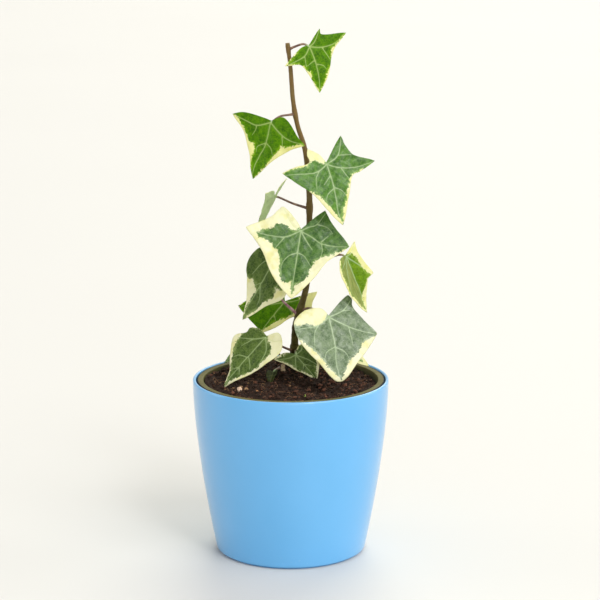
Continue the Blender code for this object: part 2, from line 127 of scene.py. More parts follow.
# Each leaf, as in the CAD model: where its stalk joins the blade; the way the midrib points, as a
# heading round +Z from +Y and a pitch above level; the roll about the midrib; the blade's margin
# as (angle from the midrib, reach) going round clockwise seen from above the blade; how far each
# half folds up along the midrib; how much the midrib bends down, in degrees per mm; and the
# points that the stalk passes on its way from the stem. The looks add, in the same angles and
# reaches, the green patch inside the cream, which runs past the margin where a stretch of it has
# no cream, and the veins, of which those that start at (0, 0) are a lobe's main vein.
LEAVES = {
    "leaf_top": dict(
        at=(10.5, -4.0, 285.2), heading=-122, pitch=-74, roll=42, fold=6, droop=0.15,
        margin=[(-137, 11.5), (-123, 9.5), (-98, 22), (-70, 13.5), (-22, 18), (0, 25.5),
                (20, 14), (41, 11.5), (66, 18), (77, 9.5), (95, 5)],
        stalk=[(-0.5, -2, 284.4), (2.7, -3, 285.2), (7, -4, 286.6)],
        green=[(-180, 3), (-140, 14), (-122, 12), (-99, 24), (-78, 13), (-72, 12), (-62, 12.6),
               (-42, 14.7), (-26, 16), (-12, 20), (-1, 25.8), (3, 22), (10, 17.5), (12, 14),
               (25, 12.6), (28, 10.5), (47, 12), (60, 15), (65, 17.5), (72, 11), (84, 7), (100, 6),
               (140, 3)],
        veins=[[(0, 0), (-8, 8.6), (-4, 16.8), (-1, 24.5)], [(0, 0), (45, 6.5), (63, 15.4)],
               [(0, 0), (-75, 6.7), (-86, 14.5), (-98, 21)], [(0, 0), (-122, 4), (-136, 10.5)],
               [(43, 6), (24, 11.2)], [(-75, 6.7), (-51, 11.2), (-45, 14)],
               [(-7, 7.8), (23, 10.9)], [(-8, 10), (-23, 12.5), (-24, 15)]],
        tone="fresh_backlit",
    ),
    "leaf_upper_left": dict(
        at=(-10.9, -7.0, 244.2), heading=103, pitch=-70, roll=-48, fold=6, droop=0.2,
        margin=[(-125, 9), (-84, 20), (-79, 25.5), (-58, 20), (-22, 22), (0, 32.5), (17, 21),
                (38, 17), (60, 17), (83, 24), (91, 17), (105, 5)],
        stalk=[(2.6, -1, 249), (-1.3, -3, 247.9), (-5.7, -6, 247.4)],
        green=[(-180, 3), (-125, 11), (-88, 23), (-79, 26), (-75, 21.5), (-65, 19.4), (-52, 17),
               (-48, 15), (-41, 16.8), (-25, 19.3), (-15, 23), (-5, 28.6), (0, 33.5), (3, 30),
               (8, 25), (12, 21), (15, 17), (22, 15), (33, 15.7), (46, 15.9), (59, 15.5),
               (69, 17), (78, 19.3), (84, 25), (95, 18), (110, 7), (150, 3)],
        veins=[[(0, 0), (-7, 12.3), (1, 19.3), (2, 26.8), (1, 31.8)],
               [(0, 0), (61, 8.3), (75, 14.5), (82, 22)],
               [(0, 0), (-66, 10.4), (-72, 17.3), (-79, 24.2)],
               [(61, 8.3), (48, 9.7), (39, 12.8)], [(-66, 10.4), (-54, 14.2), (-48, 16.5)],
               [(-8, 11.3), (11, 14.8), (9, 18.2)], [(-8, 11.3), (-23, 14.1), (-26, 18.3)]],
        tone="fresh_backlit",
    ),
    "leaf_upper_right": dict(
        at=(19.9, -8.0, 221.4), heading=-147, pitch=-61, roll=17, fold=5, droop=0.2,
        margin=[(-140, 19), (-122, 15.5), (-95, 17), (-83, 27.5), (-66, 19), (-54, 15.5),
                (-21, 21), (0, 35), (15, 26), (32, 20.5), (50, 19.5), (90, 26), (95, 18),
                (106, 10), (127, 12), (142, 13.5), (155, 7)],
        stalk=[(9.7, 1, 213), (13.5, -2, 216.5), (17.5, -5.5, 220.5)],
        green=[(-180, 3), (-145, 20), (-138, 21), (-122, 18), (-95, 19), (-83, 28.5), (-72, 22),
               (-67, 18.6), (-57, 15), (-44, 14.8), (-32, 16.5), (-22, 18.6), (-15, 22.7),
               (-6, 25.6), (-2, 30), (-1, 34.5), (2, 30.5), (8, 26), (16, 22.6), (24, 20),
               (33, 19), (43, 18.8), (51, 20.5), (72, 23.5), (88, 27.5), (92, 21), (94, 14),
               (94, 11.8), (102, 10.7), (114, 7.9), (114, 4.4), (110, 1.6)],
        veins=[[(0, 0), (-2, 13.8), (2, 26.3), (0, 34)], [(0, 0), (62, 5.9), (72, 11.3), (86, 24.5)],
               [(0, 0), (-117, 8.4), (-138, 18)], [(0, 0), (-63, 7.8), (-73, 16.7), (-82, 26.5)],
               [(0, 0), (120, 6), (140, 12)],
               [(61, 6), (50, 10.8), (37, 15.7)], [(-117, 8.4), (-105, 12.2), (-100, 15)],
               [(-63, 7.8), (-49, 11.5), (-43, 14.7)], [(-2, 13.8), (14, 17.5), (16, 21.3)],
               [(-2, 13.3), (-15, 16.6), (-17, 20.9)], [(1, 7), (23, 12.2)]],
        tone="mid",
    ),
    "leaf_side_on": dict(
        at=(-9.4, 4.0, 201.3), heading=47, pitch=-59, roll=-20, fold=6, droop=0.2,
        margin=[(-145, 7), (-118, 19), (-85, 10), (-45, 12), (0, 31), (45, 9), (90, 7),
                (134, 13.5), (155, 7)],
        stalk=[(10, 3, 194.5), (1.3, 2, 198), (-6.5, 3, 201.2)],
        green=[(-180, 2), (-145, 8), (-118, 20), (-85, 11), (-45, 13), (-10, 24), (0, 30),
               (20, 15), (45, 7.5), (90, 6), (134, 12), (155, 6)],
        veins=[[(0, 0), (2, 15), (0, 30)], [(0, 0), (-110, 9), (-118, 18)],
               [(0, 0), (-48, 6), (-44, 11)], [(0, 0), (50, 4), (45, 8)],
               [(0, 0), (120, 6), (134, 12)]],
        tone="pale",
    ),
    "leaf_centre": dict(
        at=(5.7, -13.0, 185.3), heading=163, pitch=-64, roll=-21, fold=5, droop=0.2,
        margin=[(-139, 18), (-115, 17.5), (-89, 23.5), (-80, 28), (-61, 23.5), (-46, 22.5),
                (-22, 27.5), (0, 38), (17, 32), (31, 28), (53, 24.5), (72, 26.5), (85, 30.5),
                (93, 24), (108, 18), (124, 17), (137, 16.5), (150, 6)],
        stalk=[(10.4, 5, 180), (9.4, -1, 182), (7.4, -8, 184.5)],
        green=[(-180, 3), (-145, 20), (-137, 21), (-115, 20), (-89, 26), (-79, 28.5), (-65, 22.8),
               (-56, 21), (-46, 18.7), (-33, 18.6), (-22, 21.5), (-16, 25.6), (-10, 28),
               (-5, 29.5), (-1, 30.5), (0, 36), (2, 35), (3, 28.5), (9, 30.3), (12, 30.4),
               (17, 28), (22, 24.6), (28, 19.5), (33, 19), (42, 16.5), (51, 18), (59, 17.5),
               (68, 20.8), (73, 24), (79, 25), (82, 21), (84, 20), (87, 15.5), (96, 14.6),
               (102, 10.5), (101, 8), (88, 5.8), (85, 2.8)],
        veins=[[(0, 0), (1, 12.4), (1, 25.5), (1, 36)], [(0, 0), (60, 9.5), (72, 17.1), (80, 26)],
               [(0, 0), (-124, 4.5), (-120, 9.5), (-134, 17)],
               [(0, 0), (-67, 7.1), (-65, 13.2), (-72, 19.7), (-79, 27)],
               [(0, 0), (118, 6), (135, 15)],
               [(60, 9.5), (50, 15.1), (47, 18)], [(-120, 9.5), (-106, 14.6), (-93, 17.8)],
               [(-65, 13.2), (-54, 16.1), (-43, 18.8)], [(-69, 12.8), (-87, 15.3)],
               [(1, 12.4), (18, 15.8), (22, 21.3), (17, 26.4)],
               [(1, 12.4), (-15, 14.3), (-23, 20.4)], [(0, 0), (-36, 7.2), (-38, 12.3)]],
        tone="deep",
    ),
    "leaf_right": dict(
        at=(31.2, 0.0, 168.3), heading=-64, pitch=-67, roll=69, fold=20, droop=0.1,
        margin=[(-123, 10), (-95, 7.5), (-60, 9.5), (-36, 21), (-20, 20), (0, 36), (15, 28),
                (27, 23), (46, 17), (75, 13), (105, 9)],
        stalk=[(10.2, 6, 165), (18, 4, 166), (27, 0.5, 169.3)],
        green=[(-180, 2), (-102, 3.6), (-58, 6.2), (-37, 10.9), (-32, 17.6), (-31, 20.6),
               (-20, 19), (-13, 21), (-6, 22.6), (-1, 28), (0, 35), (12, 27.5), (28, 21),
               (53, 14), (83, 11), (110, 8)],
        veins=[[(0, 0), (1, 13.2), (-1, 25.8), (0, 35)], [(0, 0), (-34, 8), (-35, 19)],
               [(0, 0), (38, 9), (24, 22)], [(0, 0), (-100, 4), (-122, 9)],
               [(0, 0), (70, 6), (73, 11)]],
        tone="split",
    ),
    "leaf_left": dict(
        at=(-9.8, 1.0, 165.1), heading=111, pitch=-58, roll=-37, fold=4, droop=0.15,
        margin=[(-130, 12), (-105, 12), (-55, 21.5), (-25, 25), (0, 36.5), (7, 26.5), (31, 18),
                (50, 16.5), (75, 15), (105, 12.5), (130, 9)],
        stalk=[(4, 13, 132.5), (-5.8, 6, 143.9), (-8.6, 3, 156)],
        green=[(-180, 3), (-130, 13), (-105, 13), (-60, 20), (-49, 17.5), (-38, 15.5),
               (-36, 19.4), (-31, 21.3), (-19, 23.3), (-13, 27.5), (-5, 31.8), (0, 36.6),
               (2, 33.5), (3, 29), (4, 23.6), (3, 18.5), (15, 15.8), (23, 14.9), (33, 17.5),
               (50, 18), (75, 16.5), (105, 14), (130, 10)],
        veins=[[(0, 0), (0, 15.8), (2, 26), (1, 35.8)], [(0, 0), (66, 5.5), (35, 14)],
               [(0, 0), (-50, 8), (-53, 18)], [(0, 0), (110, 6), (118, 10)],
               [(-1, 13), (11, 16.8), (13, 19)], [(-2, 15.3), (-10, 22.1), (-9, 26)],
               [(-52, 12), (-36, 17)]],
        tone="grey",
    ),
    "leaf_behind": dict(
        at=(-4.0, 24.0, 137.0), heading=127, pitch=-45, roll=-29, fold=4, droop=0.1,
        margin=[(-140, 20), (-120, 17), (-98, 17), (-60, 11), (-21, 15.5), (2, 21.5), (15, 21),
                (32, 22), (57, 27), (80, 15), (110, 10), (140, 12)],
        stalk=[(3.5, 17, 126), (2, 21, 131), (-1.5, 24, 136)],
        green=[(-180, 2), (-149, 11), (-101, 9.5), (-54, 9.9), (-15, 12.5), (-4, 16), (5, 21.5),
               (17, 24), (32, 25), (57, 26), (80, 17), (110, 12), (140, 14)],
        veins=[[(0, 0), (4, 11), (4, 20.5)], [(0, 0), (52, 12), (56, 25)],
               [(0, 0), (-70, 8), (-62, 10)], [(0, 0), (-130, 8), (-139, 18)],
               [(4, 9), (-12, 12)], [(52, 12), (40, 19)]],
        tone="fresh_backlit",
    ),
    "leaf_lower_right": dict(
        at=(21.3, -8.0, 135.7), heading=-162, pitch=-57, roll=-3, fold=4, droop=0.1,
        margin=[(-133, 18), (-123, 18.5), (-110, 16), (-87, 18.5), (-67, 29), (-44, 28),
                (-24, 30), (-4, 37), (4, 37), (17, 30), (36, 25.5), (54, 24), (80, 22),
                (88, 20.5), (104, 15.5), (120, 11), (145, 6)],
        stalk=[(5.8, 12.5, 136.5), (11.1, 8, 137.1), (18.2, -3, 137)],
        green=[(-180, 3), (-145, 18), (-133, 20.5), (-123, 21), (-110, 18), (-87, 21),
               (-66, 29.5), (-55, 25.3), (-45, 23.5), (-32, 25.6), (-24, 26), (-14, 27.8),
               (-8, 31.5), (-1, 36.5), (1, 35), (8, 31), (17, 26.7), (31, 22.6), (43, 22.6),
               (56, 23), (67, 23.5), (80, 22.5), (77, 19.8), (77, 14), (63, 11), (55, 6),
               (76, 2)],
        veins=[[(0, 0), (-3, 8.5), (-3, 17.3), (1, 25.3), (0, 35)], [(0, 0), (60, 9.9), (72, 20)],
               [(0, 0), (-59, 12.8), (-65, 28)], [(0, 0), (-111, 9.7), (-123, 17.8)],
               [(58, 8), (50, 13), (38, 18.5), (30, 23)],
               [(-57, 12.5), (-39, 17.3), (-31, 21.1)], [(-111, 9.7), (-104, 13.5)],
               [(-2, 17.5), (14, 21.1), (16, 25.8)], [(-2, 17.5), (-15, 21.2), (-18, 25.5)]],
        # Its tone paints a sheen of bright light over the blade into its colour.
        tone="painted_sheen",
    ),
    "leaf_lower_left": dict(
        at=(-14.2, -4.0, 123.2), heading=113, pitch=-44, roll=-28, fold=5, droop=0.1,
        margin=[(-143, 8), (-115, 11), (-87, 15), (-59, 16.5), (-33, 20.5), (0, 36.5), (7, 28),
                (27, 22.5), (59, 19.5), (70, 12.5), (85, 12), (105, 7)],
        stalk=[(2.2, 25.5, 109), (-4.8, 14, 113.6), (-11, 3, 120)],
        green=[(-180, 2), (-79, 3.8), (-73, 8.4), (-63, 12.3), (-49, 14.2), (-38, 16.9),
               (-30, 19.4), (-23, 20.8), (-15, 24.4), (-6, 29.2), (0, 35.8), (5, 28.5),
               (16, 22.8), (26, 20.5), (38, 18.5), (49, 17.5), (63, 15), (88, 13), (110, 6)],
        veins=[[(0, 0), (1, 15), (0, 36)], [(0, 0), (48, 7.1), (55, 17)],
               [(0, 0), (-52, 8), (-40, 13.7), (-32, 19)], [(0, 0), (-100, 7), (-112, 10)],
               [(0, 15), (17, 17.5), (20, 21)], [(0, 14.2), (-15, 18.1), (-18, 21)],
               [(48, 7.1), (35, 14.7)], [(0, 22), (7, 26)], [(0, 22), (-8, 26)]],
        tone="grey",
    ),
    "leaf_front": dict(
        at=(2.8, 17.0, 108.0), heading=-126, pitch=-40, roll=23, fold=5, droop=0.2,
        margin=[(-118, 8.5), (-80, 10), (-38, 14), (-18, 16), (0, 19.5), (23, 12), (50, 10),
                (78, 10), (107, 14), (130, 7)],
        stalk=[(2.2, 25, 109), (2.6, 20, 109.6)],
        green=[(-180, 2), (-118, 8), (-80, 9), (-47, 11), (-37, 12.8), (-15, 15), (-2, 18.3),
               (12, 13), (40, 9.2), (79, 9), (106, 13), (130, 6)],
        veins=[[(0, 0), (-2, 7), (-1, 18.5)], [(0, 0), (95, 6), (105, 12.5)],
               [(0, 0), (-35, 7), (-30, 14)], [(0, 0), (-100, 5), (-115, 8)],
               [(0, 0), (42, 5), (38, 9.5)], [(-2, 7), (-18, 11)], [(-2, 7), (14, 10)]],
        tone="grey",
    ),
    "leaf_rear_right": dict(
        at=(25.8, 26.0, 111.6), heading=-108, pitch=-27, roll=30, fold=5, droop=0.2,
        margin=[(-130, 8), (-105, 7), (-70, 14), (-40, 11), (0, 22.5), (30, 12), (70, 14),
                (105, 7), (130, 8)],
        stalk=[(2.4, 28.3, 103.5), (12, 30, 108), (20, 28, 111)],
        green=[(-180, 2), (-130, 6), (-105, 5.5), (-70, 11), (-40, 8.5), (-12, 13), (0, 18),
               (14, 12), (30, 9.5), (70, 11), (105, 5.5), (130, 6)],
        veins=[[(0, 0), (-2, 11), (0, 21)], [(0, 0), (62, 7), (70, 13)],
               [(0, 0), (-62, 7), (-70, 13)], [(0, 0), (122, 4), (130, 7)],
               [(0, 0), (-122, 4), (-130, 7)]],
        tone="mid",
    ),
    "leaf_rear_left": dict(
        at=(-18.8, 24.0, 112.1), heading=101, pitch=-23, roll=-34, fold=5, droop=0.2,
        margin=[(-130, 8), (-105, 7), (-70, 13), (-40, 11), (0, 22), (30, 13), (65, 15),
                (105, 7), (130, 8)],
        stalk=[(2.2, 29, 101), (-8, 29.5, 106), (-14, 27, 111)],
        green=[(-180, 2), (-130, 8), (-105, 7), (-70, 13), (-40, 11), (-10, 17), (0, 23),
               (12, 17), (30, 12), (65, 14), (105, 7), (130, 8)],
        veins=[[(0, 0), (2, 11), (0, 21)], [(0, 0), (58, 7), (65, 14)],
               [(0, 0), (-62, 7), (-70, 12)], [(0, 0), (122, 4), (130, 7)],
               [(0, 0), (-122, 4), (-130, 7)]],
        tone="deep",
    ),
    "leaf_on_soil": dict(
        at=(-10.0, 15.0, 98.6), heading=174, pitch=-7, roll=10, fold=35, droop=0.2,
        margin=[(-110, 2.5), (-60, 4), (-25, 8), (0, 19), (25, 8), (60, 4), (110, 2.5)],
        stalk=[(-6.6, 20.5, 99.4), (-8.2, 18, 99.3)],
        green=[(-180, 3), (-110, 4), (-60, 6), (-25, 10), (0, 22), (25, 10), (60, 6), (110, 4)],
        veins=[[(0, 0), (1, 9), (0, 18)], [(0, 5), (22, 8)], [(0, 5), (-22, 8)]],
        # This leaf lies in the shadow of those above it; its tone is painted shade.
        tone="shade",
    ),
}

# Bits that lie on the soil: x, y, then half length, width and height, and the turn round Z.
SOIL_BITS = {
    "pale_grit": (-28.2, -21.8, 1.9, 1.5, 1.7, 80),
    "bark_chip_1": (-21.6, -13.0, 3.4, 1.1, 0.7, 25),
    "bark_chip_2": (-17.5, -22.0, 2.6, 1.0, 0.9, -50),
    "bark_chip_3": (34.5, -2.0, 2.8, 1.2, 0.8, 70),
}
BIT_GAP = 0.6  # between them and the soil's smooth surface

# The dry end of an older shoot, and a first sprout: x, y, z above the soil and radius.
STEM_STUB = [(-4.6, 22.5, 1.0, 1.6), (-4.6, 23.0, 3.0, 1.3), (-4.5, 25.0, 5.8, 1.1)]
STUB_ROOTS = 7
SPROUT = [(8.2, -30.0, 0.6, 0.42), (8.3, -30.1, 1.8, 0.42), (8.0, -30.4, 3.4, 0.2)]

# The camera looks down at the plant, in metres and degrees.
CAMERA_TARGET = Vector((0.0052, 0, 0.1437))
CAMERA_DISTANCE = 1.2
CAMERA_ELEVATION = 12.3
VIEW_SLOPE = 0.139575  # half the width of the view, at a distance of 1

# Floor, and soft lights: azimuth from the camera, elevation and spread in degrees, strength
# and colour.
FLOOR_RADIUS = 14
FLOOR_TONES = ((0.645, 0.635, 0.62), (0.67, 0.66, 0.645))
LIGHTS = [
    ("key", 43, 44, 36, 1.25, (1.0, 0.985, 0.96)),
    ("window", 27, 40, 14, 0.6, (1.0, 1.0, 1.0)),
    ("back", 165, 42, 45, 1.4, (1.0, 1.0, 0.86)),
    ("front", 8, 6, 30, 0.85, (1.0, 0.99, 0.96)),
    ("left", -98, 10, 30, 0.5, (0.97, 0.99, 1.0)),
    ("right", 100, 12, 40, 0.8, (1.0, 1.0, 1.0)),
]


# ---------------------------------------------------------------- material helpers


def node(near, kind, values=(), **settings):
    """A new shader node in the tree of a node or socket near it.

    values maps an input's name or index to a number, a colour or a socket.
    """
    tree = near.id_data
    made = tree.nodes.new("ShaderNode" + kind)
    for key, value in settings.items():
        setattr(made, key, value)
    for key, value in dict(values).items():
        if isinstance(value, bpy.types.NodeSocket):
            tree.links.new(value, made.inputs[key])
        else:
            made.inputs[key].default_value = value
    return made


def calc(operation, first, second=0.0):
    """A Math node's result. Here and below, the first value is a socket."""
    return node(first, "Math", {0: first, 1: second}, operation=operation).outputs[0]


def times(first, second):
    return calc("MULTIPLY", first, second)


def plus(first, second):
    return calc("ADD", first, second)


def length_of(x, y):
    """How long the 2-D vector from x and y is."""
    return calc("SQRT", plus(times(x, x), times(y, y)))


def step(value, low, high):
    """0 where value is below low and 1 above high, smooth between; turned round if low > high."""
    made = node(value, "MapRange", {"Value": value}, interpolation_type="SMOOTHSTEP")
    if low > high:
        low, high = high, low
        made.inputs["To Min"].default_value = 1.0
        made.inputs["To Max"].default_value = 0.0
    made.inputs["From Min"].default_value = low
    made.inputs["From Max"].default_value = high
    return made.outputs["Result"]


def scaled(value, low, high):
    """A number from 0 to 1 turned into one from low to high."""
    return node(value, "MapRange", {"Value": value, "To Min": low, "To Max": high}).outputs["Result"]


def mix(share, first, second):
    """Two colours mixed. share is how much of the second there is."""
    first, second = (colour if isinstance(colour, bpy.types.NodeSocket) else (*colour, 1.0)
                     for colour in (first, second))
    near = share if isinstance(share, bpy.types.NodeSocket) else first
    return node(near, "Mix", {0: share, 6: first, 7: second}, data_type="RGBA").outputs[2]


def spots(place, size, detail=2.0, roughness=0.5):
    """Noise from 0 to 1 whose patches are about size across, in the units of place."""
    values = {"Vector": place, "Scale": 1 / size, "Detail": detail, "Roughness": roughness}
    return node(place, "TexNoise", values).outputs["Fac"]


def bump(height, distance, strength, normal=None):
    """The normal of a surface on which a height of 1 rises by distance, in mm."""
    values = {"Height": height, "Distance": distance * MM, "Strength": strength}
    if normal is not None:
        values["Normal"] = normal
    return node(height, "Bump", values).outputs["Normal"]


def split(vector):
    """The vector's x, y and z."""
    return node(vector, "SeparateXYZ", {0: vector}).outputs


def attribute(shader, name):
    """The vector that store() has kept on the piece under this name."""
    return node(shader, "Attribute", attribute_name=name).outputs["Vector"]


def object_place(shader):
    """The place on the object in millimetres."""
    place = node(shader, "TexCoord").outputs["Object"]
    return node(place, "VectorMath", {0: place, 3: 1 / MM}, operation="SCALE").outputs[0]


def new_material(name, roughness=0.5, **values):
    """A material and its Principled shader, whose other sockets are set by keyword."""
    made = bpy.data.materials.new(name)
    made.use_nodes = True
    shader = made.node_tree.nodes["Principled BSDF"]
    shader.inputs["Roughness"].default_value = roughness
    for key, value in values.items():
        shader.inputs[key.replace("_", " ")].default_value = value
    return made, shader


def dress(shader, colour, roughness=None, normal=None):
    """Links the colour to the shader and, where they vary, the roughness and the normal."""
    for name, value in (("Base Color", colour), ("Roughness", roughness), ("Normal", normal)):
        if value is not None:
            shader.id_data.links.new(value, shader.inputs[name])


# ---------------------------------------------------------------- mesh helpers


def add_piece(name, points, faces, finishes, stands_for, face_finish=None):
    """A piece made of points in mm and faces, riding on the body in place of CAD nodes."""
    mesh = bpy.data.meshes.new(name)
    mesh.from_pydata([tuple(MM * c for c in point) for point in points], [], faces)
    mesh.validate()
    for finish in finishes:
        mesh.materials.append(finish)
    if face_finish is not None:
        mesh.polygons.foreach_set("material_index", face_finish)
    mesh.shade_smooth()
    piece = bpy.data.objects.new(name, mesh)
    bpy.context.scene.collection.objects.link(piece)
    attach(piece, BODY)
    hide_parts(*stands_for)
    return piece


def store(piece, name, vectors):
    """Keeps a vector for each point on the piece, for its materials to read."""
    made = piece.data.attributes.new(name, "FLOAT_VECTOR", "POINT")
    made.data.foreach_set("vector", np.array(vectors, np.float32).ravel())


def face_outward(piece):
    bm = bmesh.new()
    bm.from_mesh(piece.data)
    bmesh.ops.recalc_face_normals(bm, faces=bm.faces)
    bm.to_mesh(piece.data)
    bm.free()


def circle(radius, z, segments):
    """Points evenly round the Z axis, from the one in the direction of +X."""
    angles = [2 * pi * i / segments for i in range(segments)]
    return [(radius * cos(a), radius * sin(a), z) for a in angles]


def ball(subdivisions):
    """The points, as Vectors, and the faces of a ball of radius 1."""
    bm = bmesh.new()
    bmesh.ops.create_icosphere(bm, subdivisions=subdivisions, radius=1)
    points = [vert.co.copy() for vert in bm.verts]
    faces = [tuple(vert.index for vert in face.verts) for face in bm.faces]
    bm.free()
    return points, faces


def ring_faces(first, second, count):
    """Quads between two closed rings of count vertices, whose first indices are given."""
    return [(first + i, first + (i + 1) % count, second + (i + 1) % count, second + i)
            for i in range(count)]


def sleeve_faces(first, rings, count):
    """Quads through a row of rings of count vertices each, numbered on from first."""
    faces = []
    for k in range(rings - 1):
        faces += ring_faces(first + k * count, first + (k + 1) * count, count)
    return faces


def band_faces(first, second):
    """Quads between two closed rings, each given as a list of its vertices."""
    along = list(zip(first, second))
    return [(a, b, d, c) for (a, c), (b, d) in zip(along, along[1:] + along[:1])]


def fan_faces(centre, ring, count, outward=True):
    """Triangles between a ring of vertices and its centre, turned over if not outward."""
    turns = [(ring + i, ring + (i + 1) % count, centre) for i in range(count)]
    return turns if outward else [face[::-1] for face in turns]


def turned(profile, segments):
    """Points and faces of a body turned round Z from (radius, z) points, from axis to axis."""
    points = [(0, 0, profile[0][1])]
    for radius, z in profile[1:-1]:
        points += circle(radius, z, segments)
    points.append((0, 0, profile[-1][1]))
    rings = len(profile) - 2
    faces = fan_faces(0, 1, segments, outward=False)
    faces += sleeve_faces(1, rings, segments)
    faces += fan_faces(len(points) - 1, 1 + (rings - 1) * segments, segments)
    return points, faces


def rounded(corners, radius, steps=5):
    """A profile whose inner corners are rounded. The two ends stay as they are."""
    profile = [corners[0]]
    for before, corner, after in zip(corners, corners[1:], corners[2:]):
        a, b, c = Vector(before), Vector(corner), Vector(after)
        reach = min(radius, (a - b).length / 2.2, (c - b).length / 2.2)
        start, end = b + (a - b).normalized() * reach, b + (c - b).normalized() * reach
        for k in range(steps + 1):
            t = k / steps
            profile.append(tuple((1 - t) ** 2 * start + 2 * t * (1 - t) * b + t * t * end))
    return profile + [corners[-1]]


def smooth_path(points, steps):
    """A Catmull-Rom curve through the points, each a Vector of any size."""
    ends = [2 * points[0] - points[1], *points, 2 * points[-1] - points[-2]]
    path = []
    for a, b, c, d in zip(ends, ends[1:], ends[2:], ends[3:]):
        for i in range(steps):
            t = i / steps
            path.append(0.5 * ((2 * b) + (c - a) * t + (2 * a - 5 * b + 4 * c - d) * t * t
                               + (3 * b - a - 3 * c + d) * t ** 3))
    return path + [points[-1]]


def tube(path, sides, shape=None):
    """Points and faces of a closed round tube. shape(i, angle) is a factor on its radius."""
    across = Vector((0, 1, 0))
    points = []
    for i, point in enumerate(path):
        before, after = path[max(i - 1, 0)].xyz, path[min(i + 1, len(path) - 1)].xyz
        along = (after - before).normalized()
        across = (across - along * across.dot(along)).normalized()
        other = along.cross(across)
        for k in range(sides):
            a = 2 * pi * k / sides
            radius = point.w * (shape(i, a) if shape else 1)
            points.append(point.xyz + radius * (cos(a) * across + sin(a) * other))
    faces = sleeve_faces(0, len(path), sides)
    points += [path[0].xyz, path[-1].xyz]
    faces += fan_faces(len(points) - 2, 0, sides, outward=False)
    faces += fan_faces(len(points) - 1, (len(path) - 1) * sides, sides)
    return points, faces


def joined(parts):
    """Several (points, faces) as one."""
    points, faces = [], []
    for part_points, part_faces in parts:
        start = len(points)
        points += list(part_points)
        faces += [tuple(start + i for i in face) for face in part_faces]
    return points, faces


# ---------------------------------------------------------------- planter


def pot_radius(z):
    """The planter's outer radius at a height."""
    rise = min(z / (POT_HEIGHT - LIP_BELOW_TOP), 1)
    return POT_BASE_RADIUS + (POT_TOP_RADIUS - POT_BASE_RADIUS) * (1 - (1 - rise) ** POT_BARREL)


def blue_plastic():
    made, shader = new_material("blue_plastic", Coat_Weight=0.8, Coat_Roughness=0.2)
    place = object_place(shader)
    cloud = spots(place, 30, 3)
    colour = mix(cloud, (0.098, 0.375, 0.70), (0.117, 0.412, 0.76))
    grain = spots(place, 0.35, 2)
    speck = step(grain, 0.66, 0.74)
    colour = mix(times(speck, 0.08), colour, (0.30, 0.58, 0.86))
    scuffs = step(spots(place, 2.2, 5, 0.7), 0.62, 0.72)
    near_foot = step(split(place)[2], 12, 1)
    wear = times(times(scuffs, near_foot), 0.35)
    colour = mix(wear, colour, (0.35, 0.56, 0.74))
    rough = scaled(spots(place, 6, 4), 0.30, 0.42)
    peel = bump(spots(place, 1.1, 2), 0.05, 0.25)
    dress(shader, colour, plus(rough, times(wear, 0.4)), bump(grain, 0.02, 0.25, peel))
    return made


def build_pot():
    steps = 40
    top = POT_HEIGHT - LIP_BELOW_TOP
    heights = [FOOT_HEIGHT + (top - FOOT_HEIGHT) * i / steps for i in range(steps + 1)]
    lip_round = POT_WALL / 2
    lip_middle = POT_TOP_RADIUS - lip_round
    lip = [(lip_middle + lip_round * cos(radians(a)),
            POT_HEIGHT - lip_round + lip_round * sin(radians(a))) for a in range(0, 181, 12)]
    foot = rounded([(0, FOOT_HOLLOW), (FOOT_RADIUS - 3, FOOT_HOLLOW), (FOOT_RADIUS - 2.4, 0),
                    (FOOT_RADIUS, 0), (FOOT_RADIUS, FOOT_HEIGHT),
                    (pot_radius(FOOT_HEIGHT), FOOT_HEIGHT),
                    (pot_radius(FOOT_HEIGHT + 2), FOOT_HEIGHT + 2)], FOOT_EDGE)[:-1]
    outside = [(pot_radius(z), z) for z in heights if z > FOOT_HEIGHT + 1]
    inside = [(pot_radius(z) - POT_WALL, z) for z in heights if z > POT_FLOOR + 2]
    floor = rounded([inside[0], (pot_radius(POT_FLOOR) - POT_WALL, POT_FLOOR), (0, POT_FLOOR)],
                    FLOOR_FILLET)
    profile = [*foot, *outside, *lip, *reversed(inside), *floor[1:]]
    points, faces = turned(profile, 192)
    add_piece("planter", points, faces, [blue_plastic()], ["pot"])


# ---------------------------------------------------------------- grow pot


def liner_outer_radius(z):
    """The grow pot's outer radius below its rim."""
    top = LINER_RIM_INNER + LINER_WALL
    return LINER_BASE_RADIUS + (top - LINER_BASE_RADIUS) * (z - LINER_FOOT) / (LINER_TOP - LINER_FOOT)


def olive_plastic():
    made, shader = new_material("olive_plastic", Specular_IOR_Level=0.2)
    place = object_place(shader)
    radius = length_of(*split(place)[:2])
    # Painted shade: inside the rim's inner edge the grow pot is painted near black, where its inner wall
    # lies in shade above the soil; the rim's top keeps the plastic's olive.
    wall = (0.018, 0.022, 0.010)
    rim = mix(spots(place, 9, 4), (0.070, 0.066, 0.014), (0.145, 0.130, 0.034))
    colour = mix(step(radius, LINER_RIM_INNER - 0.8, LINER_RIM_INNER + 0.2), wall, rim)
    dust = step(spots(place, 1.6, 5, 0.7), 0.55, 0.7)
    colour = mix(times(dust, 0.35), colour, (0.09, 0.055, 0.03))
    # Painted shade: the rim's outer edge and its skirt go near black, as the shadow in the narrow gap to
    # the planter's lip.
    painted_gap_shade = step(radius, LINER_RIM_OUTER - 0.9, LINER_RIM_OUTER - 0.4)
    colour = mix(painted_gap_shade, colour, (0.010, 0.011, 0.006))
    dress(shader, colour, scaled(spots(place, 3, 4), 0.5, 0.75), bump(spots(place, 0.5, 3), 0.04, 0.4))
    return made


